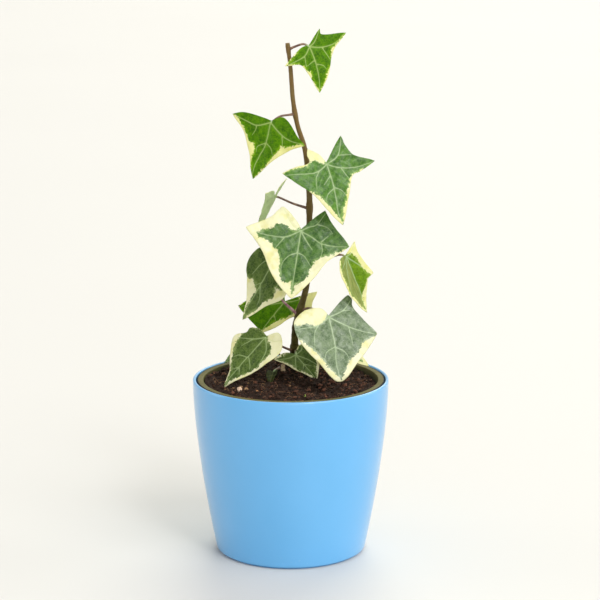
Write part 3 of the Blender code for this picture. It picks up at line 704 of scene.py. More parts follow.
def build_grow_pot():
    under_rim = LINER_TOP - LINER_WALL
    skirt_inner = LINER_RIM_OUTER - LINER_WALL
    skirt_end = LINER_TOP - LINER_SKIRT
    floor = LINER_FOOT + LINER_WALL
    profile = rounded([
        (PLATE_RADIUS, LINER_FOOT), (LINER_BASE_RADIUS, LINER_FOOT),
        (liner_outer_radius(under_rim), under_rim), (skirt_inner, under_rim),
        (skirt_inner, skirt_end), (LINER_RIM_OUTER, skirt_end),
        (LINER_RIM_OUTER, LINER_TOP), (LINER_RIM_INNER, LINER_TOP),
        (liner_outer_radius(floor) - LINER_WALL, floor), (PLATE_RADIUS, floor),
    ], LINER_EDGE, 4)
    segments = 24 * DRAIN_HOLES
    points = [point for r, z in profile for point in circle(r, z, segments)]
    faces = sleeve_faces(0, len(profile), segments)
    last_ring = (len(profile) - 1) * segments
    plate_points, plate_faces = drained_floor(segments, len(points), last_ring, floor)
    piece = add_piece("grow_pot", points + plate_points, faces + plate_faces, [olive_plastic()],
                      ["inner_pot"])
    face_outward(piece)


def drained_floor(segments, start, upper_ring, floor):
    """The floor plate inside the wall's rings: sectors with a drain hole each, round a hub.

    Its points are numbered on from start. The wall's lower ring is its first, and upper_ring is
    where its ring at the height of the floor starts.
    """
    points, faces = [], []
    per_hole = segments // DRAIN_HOLES
    hole_rings = {h: [] for h in range(DRAIN_HOLES)}
    for z, outer in ((LINER_FOOT, 0), (floor, upper_ring)):
        middle = start + len(points)
        inner = middle + 1
        points += [(0, 0, z), *circle(PLATE_HUB, z, segments)]
        faces += fan_faces(middle, inner, segments)
        for h in range(DRAIN_HOLES):
            sector = [(h * per_hole + i) % segments for i in range(per_hole + 1)]
            border = [(outer, PLATE_RADIUS, i) for i in sector]
            border += [(inner, PLATE_HUB, i) for i in reversed(sector)]
            centre = 2 * pi * (h * per_hole + per_hole / 2) / segments
            cx, cy = DRAIN_CIRCLE * cos(centre), DRAIN_CIRCLE * sin(centre)
            rim = [ring + i for ring, _, i in border]
            hole = [start + len(points) + k for k in range(len(rim))]
            for _, radius, i in border:
                a = 2 * pi * i / segments
                out = Vector((radius * cos(a) - cx, radius * sin(a) - cy)).normalized()
                points.append((cx + DRAIN_RADIUS * out.x, cy + DRAIN_RADIUS * out.y, z))
            faces += band_faces(rim, hole)
            hole_rings[h].append(hole)
    for lower, upper in hole_rings.values():
        faces += band_faces(lower, upper)
    return points, faces


# ---------------------------------------------------------------- soil


def soil_height(x, y):
    """The soil's surface: a low uneven bed, a little lower on the right and higher at the stem."""
    swell = 0.7 * sin(0.11 * x + 0.6) * cos(0.13 * y - 0.4) + 0.4 * sin(0.23 * y + 0.17 * x)
    from_stem = (x - STEM[1][0]) ** 2 + (y - STEM[1][1]) ** 2
    mound = SOIL_MOUND / (1 + from_stem / SOIL_MOUND_SPREAD)
    return SOIL_LEVEL - 0.025 * x + swell + mound


def soil_surface(x, y):
    """The height of the soil with its crumbs."""
    place = Vector((x, y, 0))
    lumps = noise.turbulence(0.22 * place, 4, True, noise_basis="VORONOI_F2F1")
    grains = noise.noise(0.9 * place) + 0.5 * noise.noise(2.1 * place)
    return soil_height(x, y) + (2.8 * (lumps - 0.6) + 0.7 * grains)


def soil_mix():
    """Dark soil, which the tint turns redder and then paler."""
    made, shader = new_material("potting_mix", 0.95, Specular_IOR_Level=0.25)
    place = object_place(shader)
    tint = split(attribute(shader, "tint"))
    dark = mix(spots(place, 3, 4), (0.007, 0.004, 0.003), (0.036, 0.019, 0.011))
    red = mix(spots(place, 1.2, 3), (0.14, 0.050, 0.028), (0.33, 0.145, 0.090))
    tan = mix(spots(place, 1.2, 3), (0.30, 0.15, 0.06), (0.50, 0.32, 0.17))
    colour = mix(tint[0], dark, red)
    colour = mix(tint[1], colour, tan)
    fine = spots(place, 0.45, 4, 0.7)
    # Painted shade: where the fine bump is lowest, its hollows are darkened nearly to black.
    colour = mix(step(fine, 0.62, 0.3), colour, (0.006, 0.004, 0.003))
    dress(shader, colour, normal=bump(fine, 0.25, 0.9))
    return made


def random_spot(draw, radius):
    """A place anywhere on a disc."""
    r = radius * sqrt(draw.random())
    a = 2 * pi * draw.random()
    return r * cos(a), r * sin(a)


def soil_bed(edge):
    """The body of the soil: a foot in the grow pot, and a rough surface that reaches to the edge."""
    segments, rings = 200, 84
    foot_radius = liner_outer_radius(SOIL_FOOT) - LINER_WALL - 0.4
    points = [(0, 0, SOIL_FOOT), *circle(foot_radius, SOIL_FOOT, segments)]
    for k in range(rings, 0, -1):
        points += [(x, y, soil_surface(x, y)) for x, y, _ in circle(edge * k / rings, 0, segments)]
    points.append((0, 0, soil_height(0, 0)))
    faces = fan_faces(0, 1, segments, outward=False)
    faces += sleeve_faces(1, rings + 1, segments)
    faces += fan_faces(len(points) - 1, 1 + rings * segments, segments)
    return points, faces


def soil_crumb(draw, edge, ball_points):
    """The points of a loose crumb on the soil, and its tint. Red crumbs lie all over; the extra red ones
    to the right are painted light falling from that side.
    """
    x, y = random_spot(draw, edge - 1.2)
    size = 0.35 + 1.1 * draw.random() ** 2.4
    stretch = Vector((1, 0.55 + 0.4 * draw.random(), 0.4 + 0.4 * draw.random())) * size
    turn = Matrix.Rotation(2 * pi * draw.random(), 3, "Z")
    turn @= Matrix.Rotation(0.9 * (draw.random() - 0.5), 3, "X")
    shift = Vector(draw.random(3) * 50)
    centre = Vector((x, y, soil_surface(x, y) + 0.3 * stretch.z))
    points = []
    for co in ball_points:
        lump = 1 + 0.75 * noise.noise(2.1 * co + shift)
        flattened = Vector((co.x * stretch.x, co.y * stretch.y, co.z * stretch.z))
        points.append(centre + turn @ (lump * flattened))
    # Painted light: the share of red crumbs rises towards the right, where the light falls.
    share_red_and_lit = 0.35 + 0.45 * min(max((x + 5) / 40, 0), 1)
    red = draw.random() if draw.random() < share_red_and_lit else 0.2 * draw.random()
    tan = draw.random() if draw.random() < 0.05 else 0.0
    return points, (red, tan)


def root_fibre(draw, edge):
    """A fine root that lies on the soil."""
    x, y = random_spot(draw, edge - 5)
    heading = 2 * pi * draw.random()
    length = 2.5 + 5 * draw.random()
    bend = 1.2 * (draw.random() - 0.5)
    way = []
    for t in (-0.5, -0.17, 0.17, 0.5):
        px = x + length * t * cos(heading + bend * t)
        py = y + length * t * sin(heading + bend * t)
        lift = 0.35 + 0.9 * (0.5 - abs(t)) * draw.random()
        way.append(Vector((px, py, soil_surface(px, py) + lift, FIBRE_RADIUS)))
    return tube(smooth_path(way, 3), 5)


def build_soil():
    draw = np.random.default_rng(7)
    edge = liner_outer_radius(SOIL_LEVEL) - LINER_WALL - 0.1
    parts = [soil_bed(edge)]
    tints = [(0.15 * draw.random(), 0.0) for _ in parts[0][0]]
    ball_points, ball_faces = ball(2)
    for _ in range(CRUMBS):
        crumb, tint = soil_crumb(draw, edge, ball_points)
        parts.append((crumb, ball_faces))
        tints += [tint] * len(crumb)
    for _ in range(FIBRES):
        fibre = root_fibre(draw, edge)
        parts.append(fibre)
        tints += [(0.4 + 0.6 * draw.random(), draw.random() ** 2)] * len(fibre[0])
    points, faces = joined(parts)
    soil = add_piece("potting_soil", points, faces, [soil_mix()], ["soil"])
    store(soil, "tint", [(*tint, 0.0) for tint in tints])


# ---------------------------------------------------------------- leaves


def turned_by(direction, angle):
    """A 2-D direction turned anticlockwise."""
    c, s = cos(radians(angle)), sin(radians(angle))
    return Vector((c * direction.x - s * direction.y, s * direction.x + c * direction.y))


def flat_point(angle, reach):
    """A place on the flat blade: an angle clockwise from the midrib, and how far out."""
    return reach * Vector((sin(radians(angle)), cos(radians(angle))))


def margin_outline(margin, spacing):
    """The blade's margin as 2-D points, from its base notch round and back to it.

    Each stretch between two of the margin's points is a cubic curve. It runs on smoothly
    except at the notch and at the lobe tips, which are pointed.
    """
    polar = [(-180, PETIOLE_NOTCH), *margin, (180, PETIOLE_NOTCH)]
    points = [flat_point(angle, reach) for angle, reach in polar]
    reaches = [reach for _, reach in polar]
    outline = []
    for i in range(len(points) - 1):
        start, end = points[i], points[i + 1]
        chord = end - start
        away, arrive = chord.normalized(), chord.normalized()
        if 0 < i and not reaches[i - 1] < reaches[i] > reaches[i + 1]:
            away = (end - points[i - 1]).normalized()
        elif i > 0:
            away = turned_by(away, TIP_FULLNESS)
        if i + 2 < len(points) and not reaches[i] < reaches[i + 1] > reaches[i + 2]:
            arrive = (points[i + 2] - start).normalized()
        elif i + 2 < len(points):
            arrive = turned_by(arrive, -TIP_FULLNESS)
        handle = chord.length / 3
        bend = [start, start + handle * away, end - handle * arrive, end]
        steps = max(3, round(chord.length / spacing))
        for k in range(steps):
            t = k / steps
            outline.append((1 - t) ** 3 * bend[0] + 3 * t * (1 - t) ** 2 * bend[1]
                           + 3 * t * t * (1 - t) * bend[2] + t ** 3 * bend[3])
    return np.array(outline)


def bent(flat, fold, droop):
    """Where flat blade points go when the halves fold up and the midrib bends down."""
    x, y = flat[:, 0], flat[:, 1]
    side = np.sqrt(x * x + FOLD_SOFTNESS * FOLD_SOFTNESS) - FOLD_SOFTNESS
    lift = side * sin(radians(fold))
    across = x - np.where(x > 0, 1, -1) * side * (1 - cos(radians(fold)))
    curve = radians(droop)
    along = np.sin(curve * y) / curve
    dip = (1 - np.cos(curve * y)) / curve
    return np.stack([across, along, lift - dip - LOBE_DIP * x * x], axis=1)


def nearest_on_line(points, line):
    """For each 2-D point, the offset from it to the nearest place on a line of points."""
    best = np.full(len(points), np.inf)
    offset = np.zeros((len(points), 2))
    where = np.zeros(len(points))
    for k, (a, b) in enumerate(zip(line, line[1:])):
        along = b - a
        t = np.clip(((points - a) @ along) / max(along @ along, 1e-9), 0, 1)
        gap = a + t[:, None] * along - points
        far = np.hypot(gap[:, 0], gap[:, 1])
        nearer = far < best
        best[nearer], offset[nearer] = far[nearer], gap[nearer]
        where[nearer] = (k + t[nearer]) / (len(line) - 1)
    return best, offset, where


def inside_line(points, line):
    """Whether each 2-D point lies inside a closed line of points."""
    inside = np.zeros(len(points), bool)
    for a, b in zip(line, np.roll(line, -1, axis=0)):
        crosses = (a[1] > points[:, 1]) != (b[1] > points[:, 1])
        run = (b[0] - a[0]) * (points[:, 1] - a[1]) / (b[1] - a[1] if b[1] != a[1] else 1) + a[0]
        inside ^= crosses & (points[:, 0] < run)
    return inside


def vein_lines(leaf):
    """Each vein as (line of 2-D points, width where it starts)."""
    lines = []
    for vein in leaf["veins"]:
        width = MAIN_VEIN if vein[0] == (0, 0) else SIDE_VEIN
        lines.append((np.array(smooth_path([flat_point(*point) for point in vein], 6)), width))
    return lines


def leaf_fields(flat, outline, leaf):
    """What the leaf's material reads at each flat point.

    They are how far the margin is; how deep in the green patch the point lies, below 0 outside
    it; the way to the nearest vein and its length, in widths of that vein; and how far a vein is.
    """
    closed = np.vstack([outline, outline[:1]])
    to_margin, _, _ = nearest_on_line(flat, closed)
    patch = np.array([flat_point(*point) for point in leaf["green"]])
    to_patch, _, _ = nearest_on_line(flat, np.vstack([patch, patch[:1]]))
    green = np.where(inside_line(flat, patch), to_patch, -to_patch)
    best = np.full(len(flat), np.inf)
    offset = np.zeros((len(flat), 2))
    to_vein = np.full(len(flat), np.inf)
    for line, width in vein_lines(leaf):
        far, gap, where = nearest_on_line(flat, line)
        own_width = width * (1 - VEIN_TAPER * where)
        scaled_far = far / own_width
        nearer = scaled_far < best
        best[nearer] = scaled_far[nearer]
        offset[nearer] = gap[nearer] / own_width[nearer, None]
        to_vein = np.minimum(to_vein, far)
    return to_margin, green, np.column_stack([offset, best]), to_vein


def leaf_relief(flat, to_margin, to_vein, phase):
    """How far the blade's surface rises over its plain bent shape, in mm.

    It is quilted between its veins, and towards the margin it waves and curls down.
    """
    quilt = 0.55 * (1 - np.exp(-(to_vein / 2.4) ** 1.5)) - 0.35
    x, y = flat[:, 0], flat[:, 1]
    wave = np.sin(0.33 * x + 0.21 * y + phase) + 0.7 * np.sin(0.47 * y - 0.19 * x + 2.1 * phase)
    outer = np.clip(np.hypot(x, y) / 22, 0, 1) ** 1.5
    pucker = 0.12 * np.sin(1.3 * x + phase) * np.cos(1.1 * y - phase)
    rim_curl = -0.35 * np.exp(-to_margin / 1.2)
    return quilt + 0.38 * wave * outer + pucker + rim_curl * outer


def leaf_rotation(leaf):
    """How the blade is turned from lying flat with its midrib along +Y."""
    heading, pitch, roll = (radians(leaf[turn]) for turn in ("heading", "pitch", "roll"))
    return (Matrix.Rotation(heading, 3, "Z") @ Matrix.Rotation(pitch, 3, "X")
            @ Matrix.Rotation(roll, 3, "Y"))


def surface_normals(grid, rings, count):
    """Unit normals of a bent polar grid: its centre, then rings of count points."""
    centre, body = grid[0], grid[1:].reshape(rings, count, 3)
    inner = np.concatenate([np.broadcast_to(centre, (1, count, 3)), body[:-1]])
    outer = np.concatenate([body[1:], body[-1:]])
    around = np.roll(body, -1, axis=1) - np.roll(body, 1, axis=1)
    normal = np.cross(around, outer - inner)
    normal /= np.maximum(np.linalg.norm(normal, axis=2, keepdims=True), 1e-9)
    normal *= np.where(normal[..., 2:] < 0, -1, 1)
    return np.vstack([normal[0].mean(axis=0), normal.reshape(-1, 3)])


def stem_surface(start, towards):
    """Where a stalk starts: just inside the stem's surface, if it grows from the stem."""
    stem_points = smooth_path([Vector(point) for point in STEM], 8)
    near = min(stem_points[1:-1], key=lambda point: (point.xyz - start).length)
    if (start - near.xyz).length > near.w + STALK_NEAR:
        return start
    place = stem_points.index(near)
    along = (stem_points[place + 1].xyz - stem_points[place - 1].xyz).normalized()
    out = towards - near.xyz
    out = (out - along * out.dot(along)).normalized()
    return near.xyz + out * near.w * STALK_ROOT


def leaf_stalk(leaf):
    """The stalk from the stem to the blade, thicker at its foot and drawn in at its end."""
    way = [Vector(point) for point in (*leaf["stalk"], leaf["at"])]
    way[0] = stem_surface(way[0], way[1])
    path = smooth_path([Vector((*point, STALK_RADIUS)) for point in way], 8)
    last = len(path) - 1
    for i, point in enumerate(path):
        point.w *= 1 + 0.55 * (1 - i / last) ** 6 - 0.5 * (i / last) ** 12
    return tube(path, STALK_SIDES, lambda i, a: 1 + 0.06 * cos(3 * a + 0.2 * i))


def build_leaf(name, leaf, finishes, seed):
    """A leaf and its stalk. The finishes are for the blade's upper side, its lower side and the stalk."""
    outline = margin_outline(leaf["margin"], BLADE_SPACING)
    count = len(outline)
    rings = max(12, round(max(reach for _, reach in leaf["margin"]) / BLADE_SPACING))
    shares = np.array([(k / rings) ** 0.97 for k in range(1, rings + 1)])
    flat = np.vstack([[0, 0], (shares[:, None, None] * outline[None]).reshape(-1, 2)])
    to_margin, green, veins, to_vein = leaf_fields(flat, outline, leaf)
    middle = bent(flat, leaf["fold"], leaf["droop"])
    middle[:, 2] += leaf_relief(flat, to_margin, to_vein, seed)
    half = 0.5 * np.clip(BLADE_RIM + 0.12 * to_margin, BLADE_RIM, BLADE_THICKNESS)
    lift = half[:, None] * surface_normals(middle, rings, count)
    blade = np.vstack([middle + lift, middle - lift])
    blade = blade @ np.array(leaf_rotation(leaf)).T + np.array(leaf["at"])

    size = len(flat)
    above = fan_faces(0, 1, count, outward=False) + sleeve_faces(1, rings, count)
    below = [tuple(size + i for i in face[::-1]) for face in above]
    edge = 1 + (rings - 1) * count
    rim = ring_faces(edge, size + edge, count)
    stalk = leaf_stalk(leaf)
    points, faces = joined([(blade, above + below + rim), stalk])
    kinds = [0] * len(above) + [1] * len(below) + [0] * len(rim) + [2] * len(stalk[1])
    piece = add_piece(name.replace("leaf", "ivy_leaf"), points, faces, finishes, [name],
                      kinds)

    from_blade = np.zeros((len(stalk[0]), 3))
    from_blade[:, 0] = [(Vector(point) - Vector(leaf["at"])).length for point in stalk[0]]
    flats = np.column_stack([flat, np.full(size, LEAF_SHIFT * seed)])
    fields = np.column_stack([green, to_margin, to_vein])
    for key, values in (("flat", flats), ("fields", fields), ("vein", veins)):
        on_stalk = from_blade if key == "fields" else 0 * from_blade
        store(piece, key, np.vstack([values, values, on_stalk]))


# ---------------------------------------------------------------- leaf materials

# The greens of each tone of leaf: deep, middle and light.
TONES = {
    # Painted light, in part: the greens of this tone and of the split one are bright and saturated as
    # light shining through the blade from behind; younger leaves are also brighter.
    "fresh_backlit": ((0.042, 0.150, 0.001), (0.095, 0.265, 0.001), (0.24, 0.44, 0.01)),
    "mid": ((0.036, 0.140, 0.005), (0.090, 0.250, 0.014), (0.26, 0.45, 0.09)),
    "deep": ((0.034, 0.115, 0.015), (0.092, 0.215, 0.035), (0.26, 0.41, 0.12)),
    "grey": ((0.050, 0.098, 0.016), (0.115, 0.190, 0.034), (0.28, 0.37, 0.12)),
    # Painted sheen: this tone's greens are lightened towards grey-white, a reflection of bright light
    # across the whole blade.
    "painted_sheen": ((0.085, 0.155, 0.055), (0.200, 0.290, 0.140), (0.44, 0.53, 0.36)),
    # Painted shade: this tone is darkened for the leaf that lies in the others' shadow.
    "shade": ((0.016, 0.024, 0.003), (0.040, 0.056, 0.008), (0.10, 0.12, 0.03)),
    "pale": ((0.42, 0.56, 0.24), (0.55, 0.68, 0.34), (0.66, 0.76, 0.46)),
    "split": ((0.10, 0.22, 0.002), (0.17, 0.32, 0.004), (0.32, 0.46, 0.08)),
}
# The veins in the green, and VEIN_CREAM in the cream. The veins of the leaf in shadow are darkened as
# painted shade.
VEIN_GREEN = (0.42, 0.57, 0.27)
# The veins of the leaf with the painted sheen are lightened along with its greens.
VEINS = {"fresh_backlit": (0.42, 0.57, 0.17), "grey": (0.40, 0.52, 0.22), "painted_sheen": (0.50, 0.64, 0.38),
         "shade": (0.09, 0.11, 0.03), "pale": (0.62, 0.72, 0.45)}
VEIN_CREAM = (0.80, 0.82, 0.46)
# How many vein widths nearer a vein may seem between the mesh's points than it is at them.
VEIN_SLACK = 2.4
# What the underside is dulled with. That of the leaf in shadow is darkened as painted shade.
UNDERSIDE = (0.33, 0.42, 0.15)
UNDERSIDES = {"pale": (0.60, 0.72, 0.42), "shade": (0.03, 0.04, 0.01)}
# How glossy each tone is: the specular level, and the weight of the wax over it.
PLAIN_GLOSS = (0.12, 0.0)
GLOSS = {"mid": (0.3, 0.4), "deep": (0.25, 0.4), "grey": (0.2, 0.05), "painted_sheen": (0.5, 0.5),
         "shade": (0.02, 0.0)}
# How much of the light that a blade scatters comes through from behind.
TRANSLUCENCE = 0.30
# The duller side of the leaf that has turned half over.
OLIVE = ((0.20, 0.26, 0.055), (0.34, 0.38, 0.11))
# The margin's two creams, the yellower ones of the younger leaves, which also paint the yellow of light
# shining through the margin from behind, and the yellow at the rim.
CREAM = ((0.84, 0.81, 0.38), (0.92, 0.90, 0.61))
CREAMS = {"fresh_backlit": ((0.82, 0.81, 0.26), (0.88, 0.86, 0.40)),
          "mid": ((0.84, 0.82, 0.32), (0.90, 0.88, 0.50)),
          "split": ((0.82, 0.81, 0.30), (0.88, 0.86, 0.46))}
CREAM_RIM = (0.72, 0.72, 0.28)


def leaf_green(shader, tone):
    """The blade's colour, masks of its veins and of the net between them, and its flat place."""
    deep, middle, light = TONES[tone]
    flat = attribute(shader, "flat")
    green, to_margin, _ = split(attribute(shader, "fields"))
    vein_x, vein_y, vein_far = split(attribute(shader, "vein"))
    near = calc("MAXIMUM", length_of(vein_x, vein_y), calc("SUBTRACT", vein_far, VEIN_SLACK))
    vein_mask = step(near, 1.15, 0.35)
    glow = step(near, 3.2, 0.6)

    ragged = calc("SUBTRACT", spots(flat, 2.0, 2), 0.5)
    teeth = calc("SUBTRACT", spots(flat, 0.8, 3, 0.6), 0.5)
    reach = plus(plus(green, times(ragged, 3.0)), times(teeth, 2.6))
    mask = step(reach, -0.18, 0.18)
    pale_zone = times(step(reach, 1.3, 0.9), step(spots(flat, 5.0, 1), 0.42, 0.52))

    mottle = spots(flat, 3.2, 5, 0.62)
    colour = mix(step(mottle, 0.36, 0.62), deep, middle)
    if tone == "split":  # one half has turned over, and shows its duller side
        streaks = node(flat, "VectorMath", {0: flat, 1: (1.6, 0.22, 1)}, operation="MULTIPLY")
        olive = mix(step(spots(streaks.outputs[0], 1.5, 3), 0.35, 0.65), *OLIVE)
        colour = mix(step(split(flat)[0], -0.4, 0.4), colour, olive)
    net = node(flat, "TexVoronoi", {"Vector": flat, "Scale": 0.62}, feature="DISTANCE_TO_EDGE")
    net_mask = step(net.outputs["Distance"], 0.10, 0.02)
    for paler, share in ((step(spots(flat, 0.7, 3), 0.5, 0.8), 0.35),
                         (net_mask, 0.28), (pale_zone, 0.75)):
        colour = mix(times(paler, share), colour, light)
    cream = mix(step(spots(flat, 6, 3), 0.30, 0.52), *CREAMS.get(tone, CREAM))
    cream = mix(times(step(to_margin, 0.5, 0.0), 0.4), cream, CREAM_RIM)
    colour = mix(mask, cream, colour)
    vein_colour = mix(mask, VEIN_CREAM, VEINS.get(tone, VEIN_GREEN))
    colour = mix(times(glow, 0.15), colour, vein_colour)
    colour = mix(times(vein_mask, 0.85), colour, vein_colour)
    return colour, vein_mask, net_mask, flat


def leaf_upper(tone):
    specular, wax = GLOSS.get(tone, PLAIN_GLOSS)
    made, shader = new_material("leaf_upper_" + tone, Specular_IOR_Level=specular,
                                Coat_Weight=wax, Coat_Roughness=0.28)
    colour, vein_mask, net_mask, flat = leaf_green(shader, tone)
    height = plus(times(vein_mask, 0.5), times(net_mask, -0.35))
    height = plus(height, times(spots(flat, 1.1, 3), 0.6))
    dress(shader, colour, scaled(spots(flat, 2.5, 4), 0.36, 0.54), bump(height, 0.16, 0.6))
    let_light_through(shader, colour)
    return made


def leaf_under(tone):
    made, shader = new_material("leaf_under_" + tone, 0.6, Specular_IOR_Level=0.15)
    colour, vein_mask, net_mask, _ = leaf_green(shader, tone)
    dull = mix(0.45, colour, UNDERSIDES.get(tone, UNDERSIDE))
    height = plus(vein_mask, times(net_mask, 0.4))
    dress(shader, dull, normal=bump(height, 0.3, 0.7))
    let_light_through(shader, dull)
    return made


def let_light_through(shader, colour):
    """Mixes in some light that shines through the blade from behind."""
    tree = shader.id_data
    output = tree.nodes["Material Output"]
    glow = node(shader, "BsdfTranslucent", {"Color": colour})
    both = node(shader, "MixShader", {0: TRANSLUCENCE, 1: shader.outputs[0], 2: glow.outputs[0]})
    tree.links.new(both.outputs[0], output.inputs["Surface"])


def stalk_skin(name, low, high):
    """A stalk's skin, which turns green where it meets the blade."""
    made, shader = new_material(name, Specular_IOR_Level=0.5)
    place = object_place(shader)
    streaks = spots(place, 2.5, 4)
    colour = mix(step(streaks, 0.35, 0.65), low, high)
    pores = step(spots(place, 0.5, 2), 0.62, 0.72)
    colour = mix(times(pores, 0.3), colour, (0.35, 0.27, 0.15))
    from_blade = split(attribute(shader, "fields"))[0]
    colour = mix(step(from_blade, 3.5, 0.3), colour, VEIN_GREEN)
    dress(shader, colour, scaled(streaks, 0.38, 0.55), bump(spots(place, 0.8, 3), 0.08, 0.5))
    return made


# ---------------------------------------------------------------- stem


def stem_bark():
    """Bark that is green at the stem's foot and brown higher up."""
    made, shader = new_material("stem_bark", Specular_IOR_Level=0.25)
    place = object_place(shader)
    x, y, z = split(place)
    along = node(z, "CombineXYZ", {0: x, 1: y, 2: times(z, 0.22)}).outputs[0]
    grain = spots(along, 0.8, 4, 0.6)
    low = mix(grain, (0.026, 0.021, 0.003), (0.090, 0.070, 0.012))
    high = mix(grain, (0.085, 0.046, 0.010), (0.21, 0.128, 0.038))
    colour = mix(step(z, 110, 250), low, high)
    blotch = step(spots(place, 4, 3), 0.48, 0.66)
    colour = mix(times(blotch, 0.45), colour, (0.13, 0.11, 0.035))
    pores = step(spots(place, 0.6, 2), 0.64, 0.72)
    colour = mix(times(pores, 0.5), colour, (0.34, 0.25, 0.16))
    dress(shader, colour, scaled(grain, 0.45, 0.7), bump(grain, 0.22, 0.8))
    return made


def cut_wood():
    made, shader = new_material("cut_wood", 0.8)
    rays = spots(object_place(shader), 0.5, 3)
    dress(shader, mix(rays, (0.33, 0.22, 0.12), (0.55, 0.42, 0.26)))
    return made


def build_stem():
    """The stem, which swells where a leaf's stalk leaves it. Its cut top shows the wood."""
    path = smooth_path([Vector(point) for point in STEM], 16)
    feet = [stem_surface(Vector(leaf["stalk"][0]), Vector(leaf["stalk"][1]))
            for name, leaf in LEAVES.items() if name != "leaf_on_soil"]

    def shape(i, angle):
        point = path[i]
        apart = [(point.xyz - foot).length for foot in feet]
        swelling = sum(NODE_SWELL * exp(-(gap - point.w) ** 2 / NODE_SPREAD)
                       for gap in apart if gap < NODE_REACH)
        ridge = 0.05 * noise.noise(Vector((2.2 * cos(angle), 2.2 * sin(angle), 0.05 * point.z)))
        lump = 0.06 * noise.noise(Vector((cos(angle), sin(angle), 0.45 * point.z)))
        return 1 + min(swelling, NODE_MOST) + ridge + lump

    points, faces = tube(path, STEM_SIDES, shape)
    kinds = [0] * (len(faces) - STEM_SIDES) + [1] * STEM_SIDES
    add_piece("ivy_stem", points, faces, [stem_bark(), cut_wood()], ["stem"], kinds)


# ---------------------------------------------------------------- small things on the soil


def mottled(name, low, high, size, roughness=0.8):
    """A rough surface with spots of two colours, about size across."""
    made, shader = new_material(name, roughness)
    pattern = spots(object_place(shader), size, 4, 0.6)
    dress(shader, mix(step(pattern, 0.35, 0.65), low, high), normal=bump(pattern, 0.2, 0.7))
    return made


def build_soil_bits():
    stone = mottled("pale_stone", (0.48, 0.30, 0.19), (0.80, 0.60, 0.44), 0.8)
    bark = mottled("dry_bark", (0.26, 0.085, 0.022), (0.70, 0.31, 0.11), 0.9)
    ball_points, faces = ball(4)
    for name, (x, y, length, width, height, turn) in SOIL_BITS.items():
        rock = name == "pale_grit"
        rest = Vector((x, y, soil_height(x, y) + BIT_GAP + height))
        spin = Matrix.Rotation(radians(turn), 3, "Z")
        points = []
        for co in ball_points:
            rough = 1 + 0.16 * noise.noise(1.7 * co + rest) + 0.05 * noise.noise(5 * co)
            if not rock:
                rough += 0.22 * noise.noise(Vector((1.2 * co.x, 5 * co.y, 5 * co.z)) + rest)
            curl = 0 if rock else 0.9 * height * (co.x ** 2 - 0.4)
            shape = Vector((co.x * length, co.y * width, co.z * height)) * rough
            points.append(rest + spin @ (shape + Vector((0, 0, curl))))
        add_piece(name.replace("bark", "dry_bark").replace("pale_", "stone_"), points, faces,
                  [stone if rock else bark], [name])


def build_stub():
    """The dry stub, with fine roots spread on the soil round it."""
    foot_x, foot_y = STEM_STUB[0][:2]
    ground = soil_height(foot_x, foot_y)
    path = smooth_path([Vector((x, y, ground + z, r)) for x, y, z, r in STEM_STUB], 8)
    parts = [tube(path, 20, lambda i, a: 1 + 0.22 * noise.noise(
        Vector((2 * cos(a), 2 * sin(a), 0.3 * i))))]
    draw = np.random.default_rng(3)
    for k in range(STUB_ROOTS):
        a = 2 * pi * (k + draw.random()) / STUB_ROOTS
        x, y = foot_x + 1.1 * cos(a), foot_y + 1.1 * sin(a)
        length = 2.5 + 2.5 * draw.random()
        way = []
        for t in (0, 0.3, 0.65, 1):
            px, py = x + length * t * cos(a + t), y + length * t * sin(a + t)
            way.append(Vector((px, py, ground + 2.4 - 1.9 * t, 0.28 - 0.15 * t)))
        parts.append(tube(smooth_path(way, 4), 8))
    points, faces = joined(parts)
    wood = mottled("dry_stub", (0.30, 0.19, 0.10), (0.66, 0.50, 0.34), 0.8)
    add_piece("dry_stub", points, faces, [wood], ["stem_stub"])


def seed_leaf(foot, side):
    """A small curved leaf that leaves its foot to one side, as points and faces."""
    steps, width = 10, 5
    upper = []
    for i in range(steps + 1):
        t = i / steps
        half = 0.55 * sin(pi * t ** 0.8) + 0.02
        for j in range(width):
            s = (j / (width - 1) - 0.5) * 2
            rise = 1.3 * t - 0.5 * t * t + 0.25 * s * s
            upper.append(foot + Vector((side * 1.9 * t, s * half, rise)))
    faces = []
    for i in range(steps):
        for a in range(i * width, i * width + width - 1):
            faces.append((a, a + 1, a + width + 1, a + width))
    size = len(upper)
    faces += [tuple(size + i for i in face[::-1]) for face in faces]
    lower = [point - Vector((0, 0, 0.22)) for point in upper]
    border = [*range(width), *range(2 * width - 1, size, width),
              *range(size - 2, size - width - 1, -1), *range(size - 2 * width, 0, -width)]
    faces += [(a, b, size + b, size + a) for a, b in zip(border, border[1:] + border[:1])]
    return upper + lower, faces


def build_sprout():
    """A first sprout: a stalk with two seed leaves."""
    ground = soil_height(*SPROUT[0][:2])
    points = [Vector((x, y, ground + z, r)) for x, y, z, r in SPROUT]
    parts = [tube(smooth_path(points, 6), 12)]
    parts += [seed_leaf(points[1].xyz, side) for side in (-1, 1)]
    points, faces = joined(parts)
    green = mottled("sprout_green", (0.22, 0.30, 0.04), (0.42, 0.50, 0.12), 0.7, 0.5)
    face_outward(add_piece("first_sprout", points, faces, [green], ["sprout"]))


# ---------------------------------------------------------------- camera, floor and light


def look_at(thing, place, target):
    """Puts a camera or a lamp in place, facing the target."""
    thing.location = place
    thing.rotation_euler = (Vector(target) - Vector(place)).to_track_quat("-Z", "Y").to_euler()


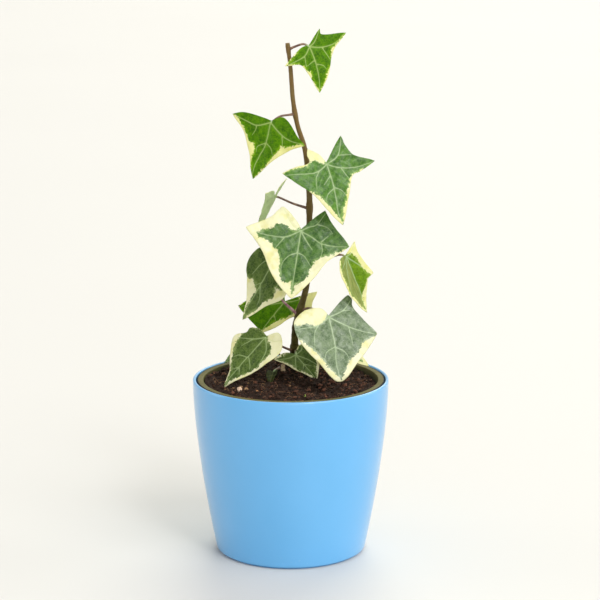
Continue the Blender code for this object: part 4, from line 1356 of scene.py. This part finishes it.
def build_floor():
    made, shader = new_material("floor", 0.55)
    place = node(shader, "TexCoord").outputs["Object"]
    dress(shader, mix(spots(place, 0.6, 3), *FLOOR_TONES))
    bpy.ops.mesh.primitive_circle_add(vertices=64, radius=FLOOR_RADIUS, fill_type="NGON")
    floor = bpy.context.object
    floor.name = "floor"
    floor.data.materials.append(made)


def build_world():
    world = bpy.data.worlds.new("studio")
    bpy.context.scene.world = world
    world.use_nodes = True
    background = world.node_tree.nodes["Background"]
    background.inputs["Color"].default_value = (1.0, 0.985, 0.95, 1)
    background.inputs["Strength"].default_value = 0.60


def add_soft_light(name, azimuth, elevation, spread, strength, colour):
    """A distant round softbox, which lights the floor evenly. Azimuth 0 is the camera's side."""
    light = bpy.data.lights.new(name, "SUN")
    light.angle = radians(spread)
    light.energy = strength
    light.color = colour
    lamp = bpy.data.objects.new(name, light)
    bpy.context.scene.collection.objects.link(lamp)
    a, e = radians(azimuth), radians(elevation)
    look_at(lamp, (2 * sin(a) * cos(e), -2 * cos(a) * cos(e), 2 * sin(e)), (0, 0, 0))


def build_camera():
    view = bpy.data.cameras.new("camera")
    view.angle = 2 * atan(VIEW_SLOPE)
    view.clip_end = 50
    camera = bpy.data.objects.new("camera", view)
    bpy.context.scene.collection.objects.link(camera)
    rise = radians(CAMERA_ELEVATION)
    place = CAMERA_TARGET + CAMERA_DISTANCE * Vector((0, -cos(rise), sin(rise)))
    look_at(camera, place, CAMERA_TARGET)
    bpy.context.scene.camera = camera


def main():
    build_camera()
    build_floor()
    build_world()
    for light in LIGHTS:
        add_soft_light(*light)
    bpy.context.scene.view_settings.view_transform = "Standard"
    build_pot()
    build_grow_pot()
    build_soil()
    build_stem()
    brown = stalk_skin("stalk_brown", (0.10, 0.045, 0.035), (0.25, 0.15, 0.09))
    pink = stalk_skin("stalk_pink", (0.30, 0.13, 0.17), (0.50, 0.30, 0.32))
    uppers = {tone: leaf_upper(tone) for tone in TONES}
    unders = {tone: leaf_under(tone) for tone in TONES}
    for seed, (name, leaf) in enumerate(LEAVES.items()):
        tone = leaf["tone"]
        stalk = pink if name == "leaf_left" else brown
        build_leaf(name, leaf, [uppers[tone], unders[tone], stalk], seed)
    build_soil_bits()
    build_stub()
    build_sprout()


main()
bpy.context.view_layer.update()
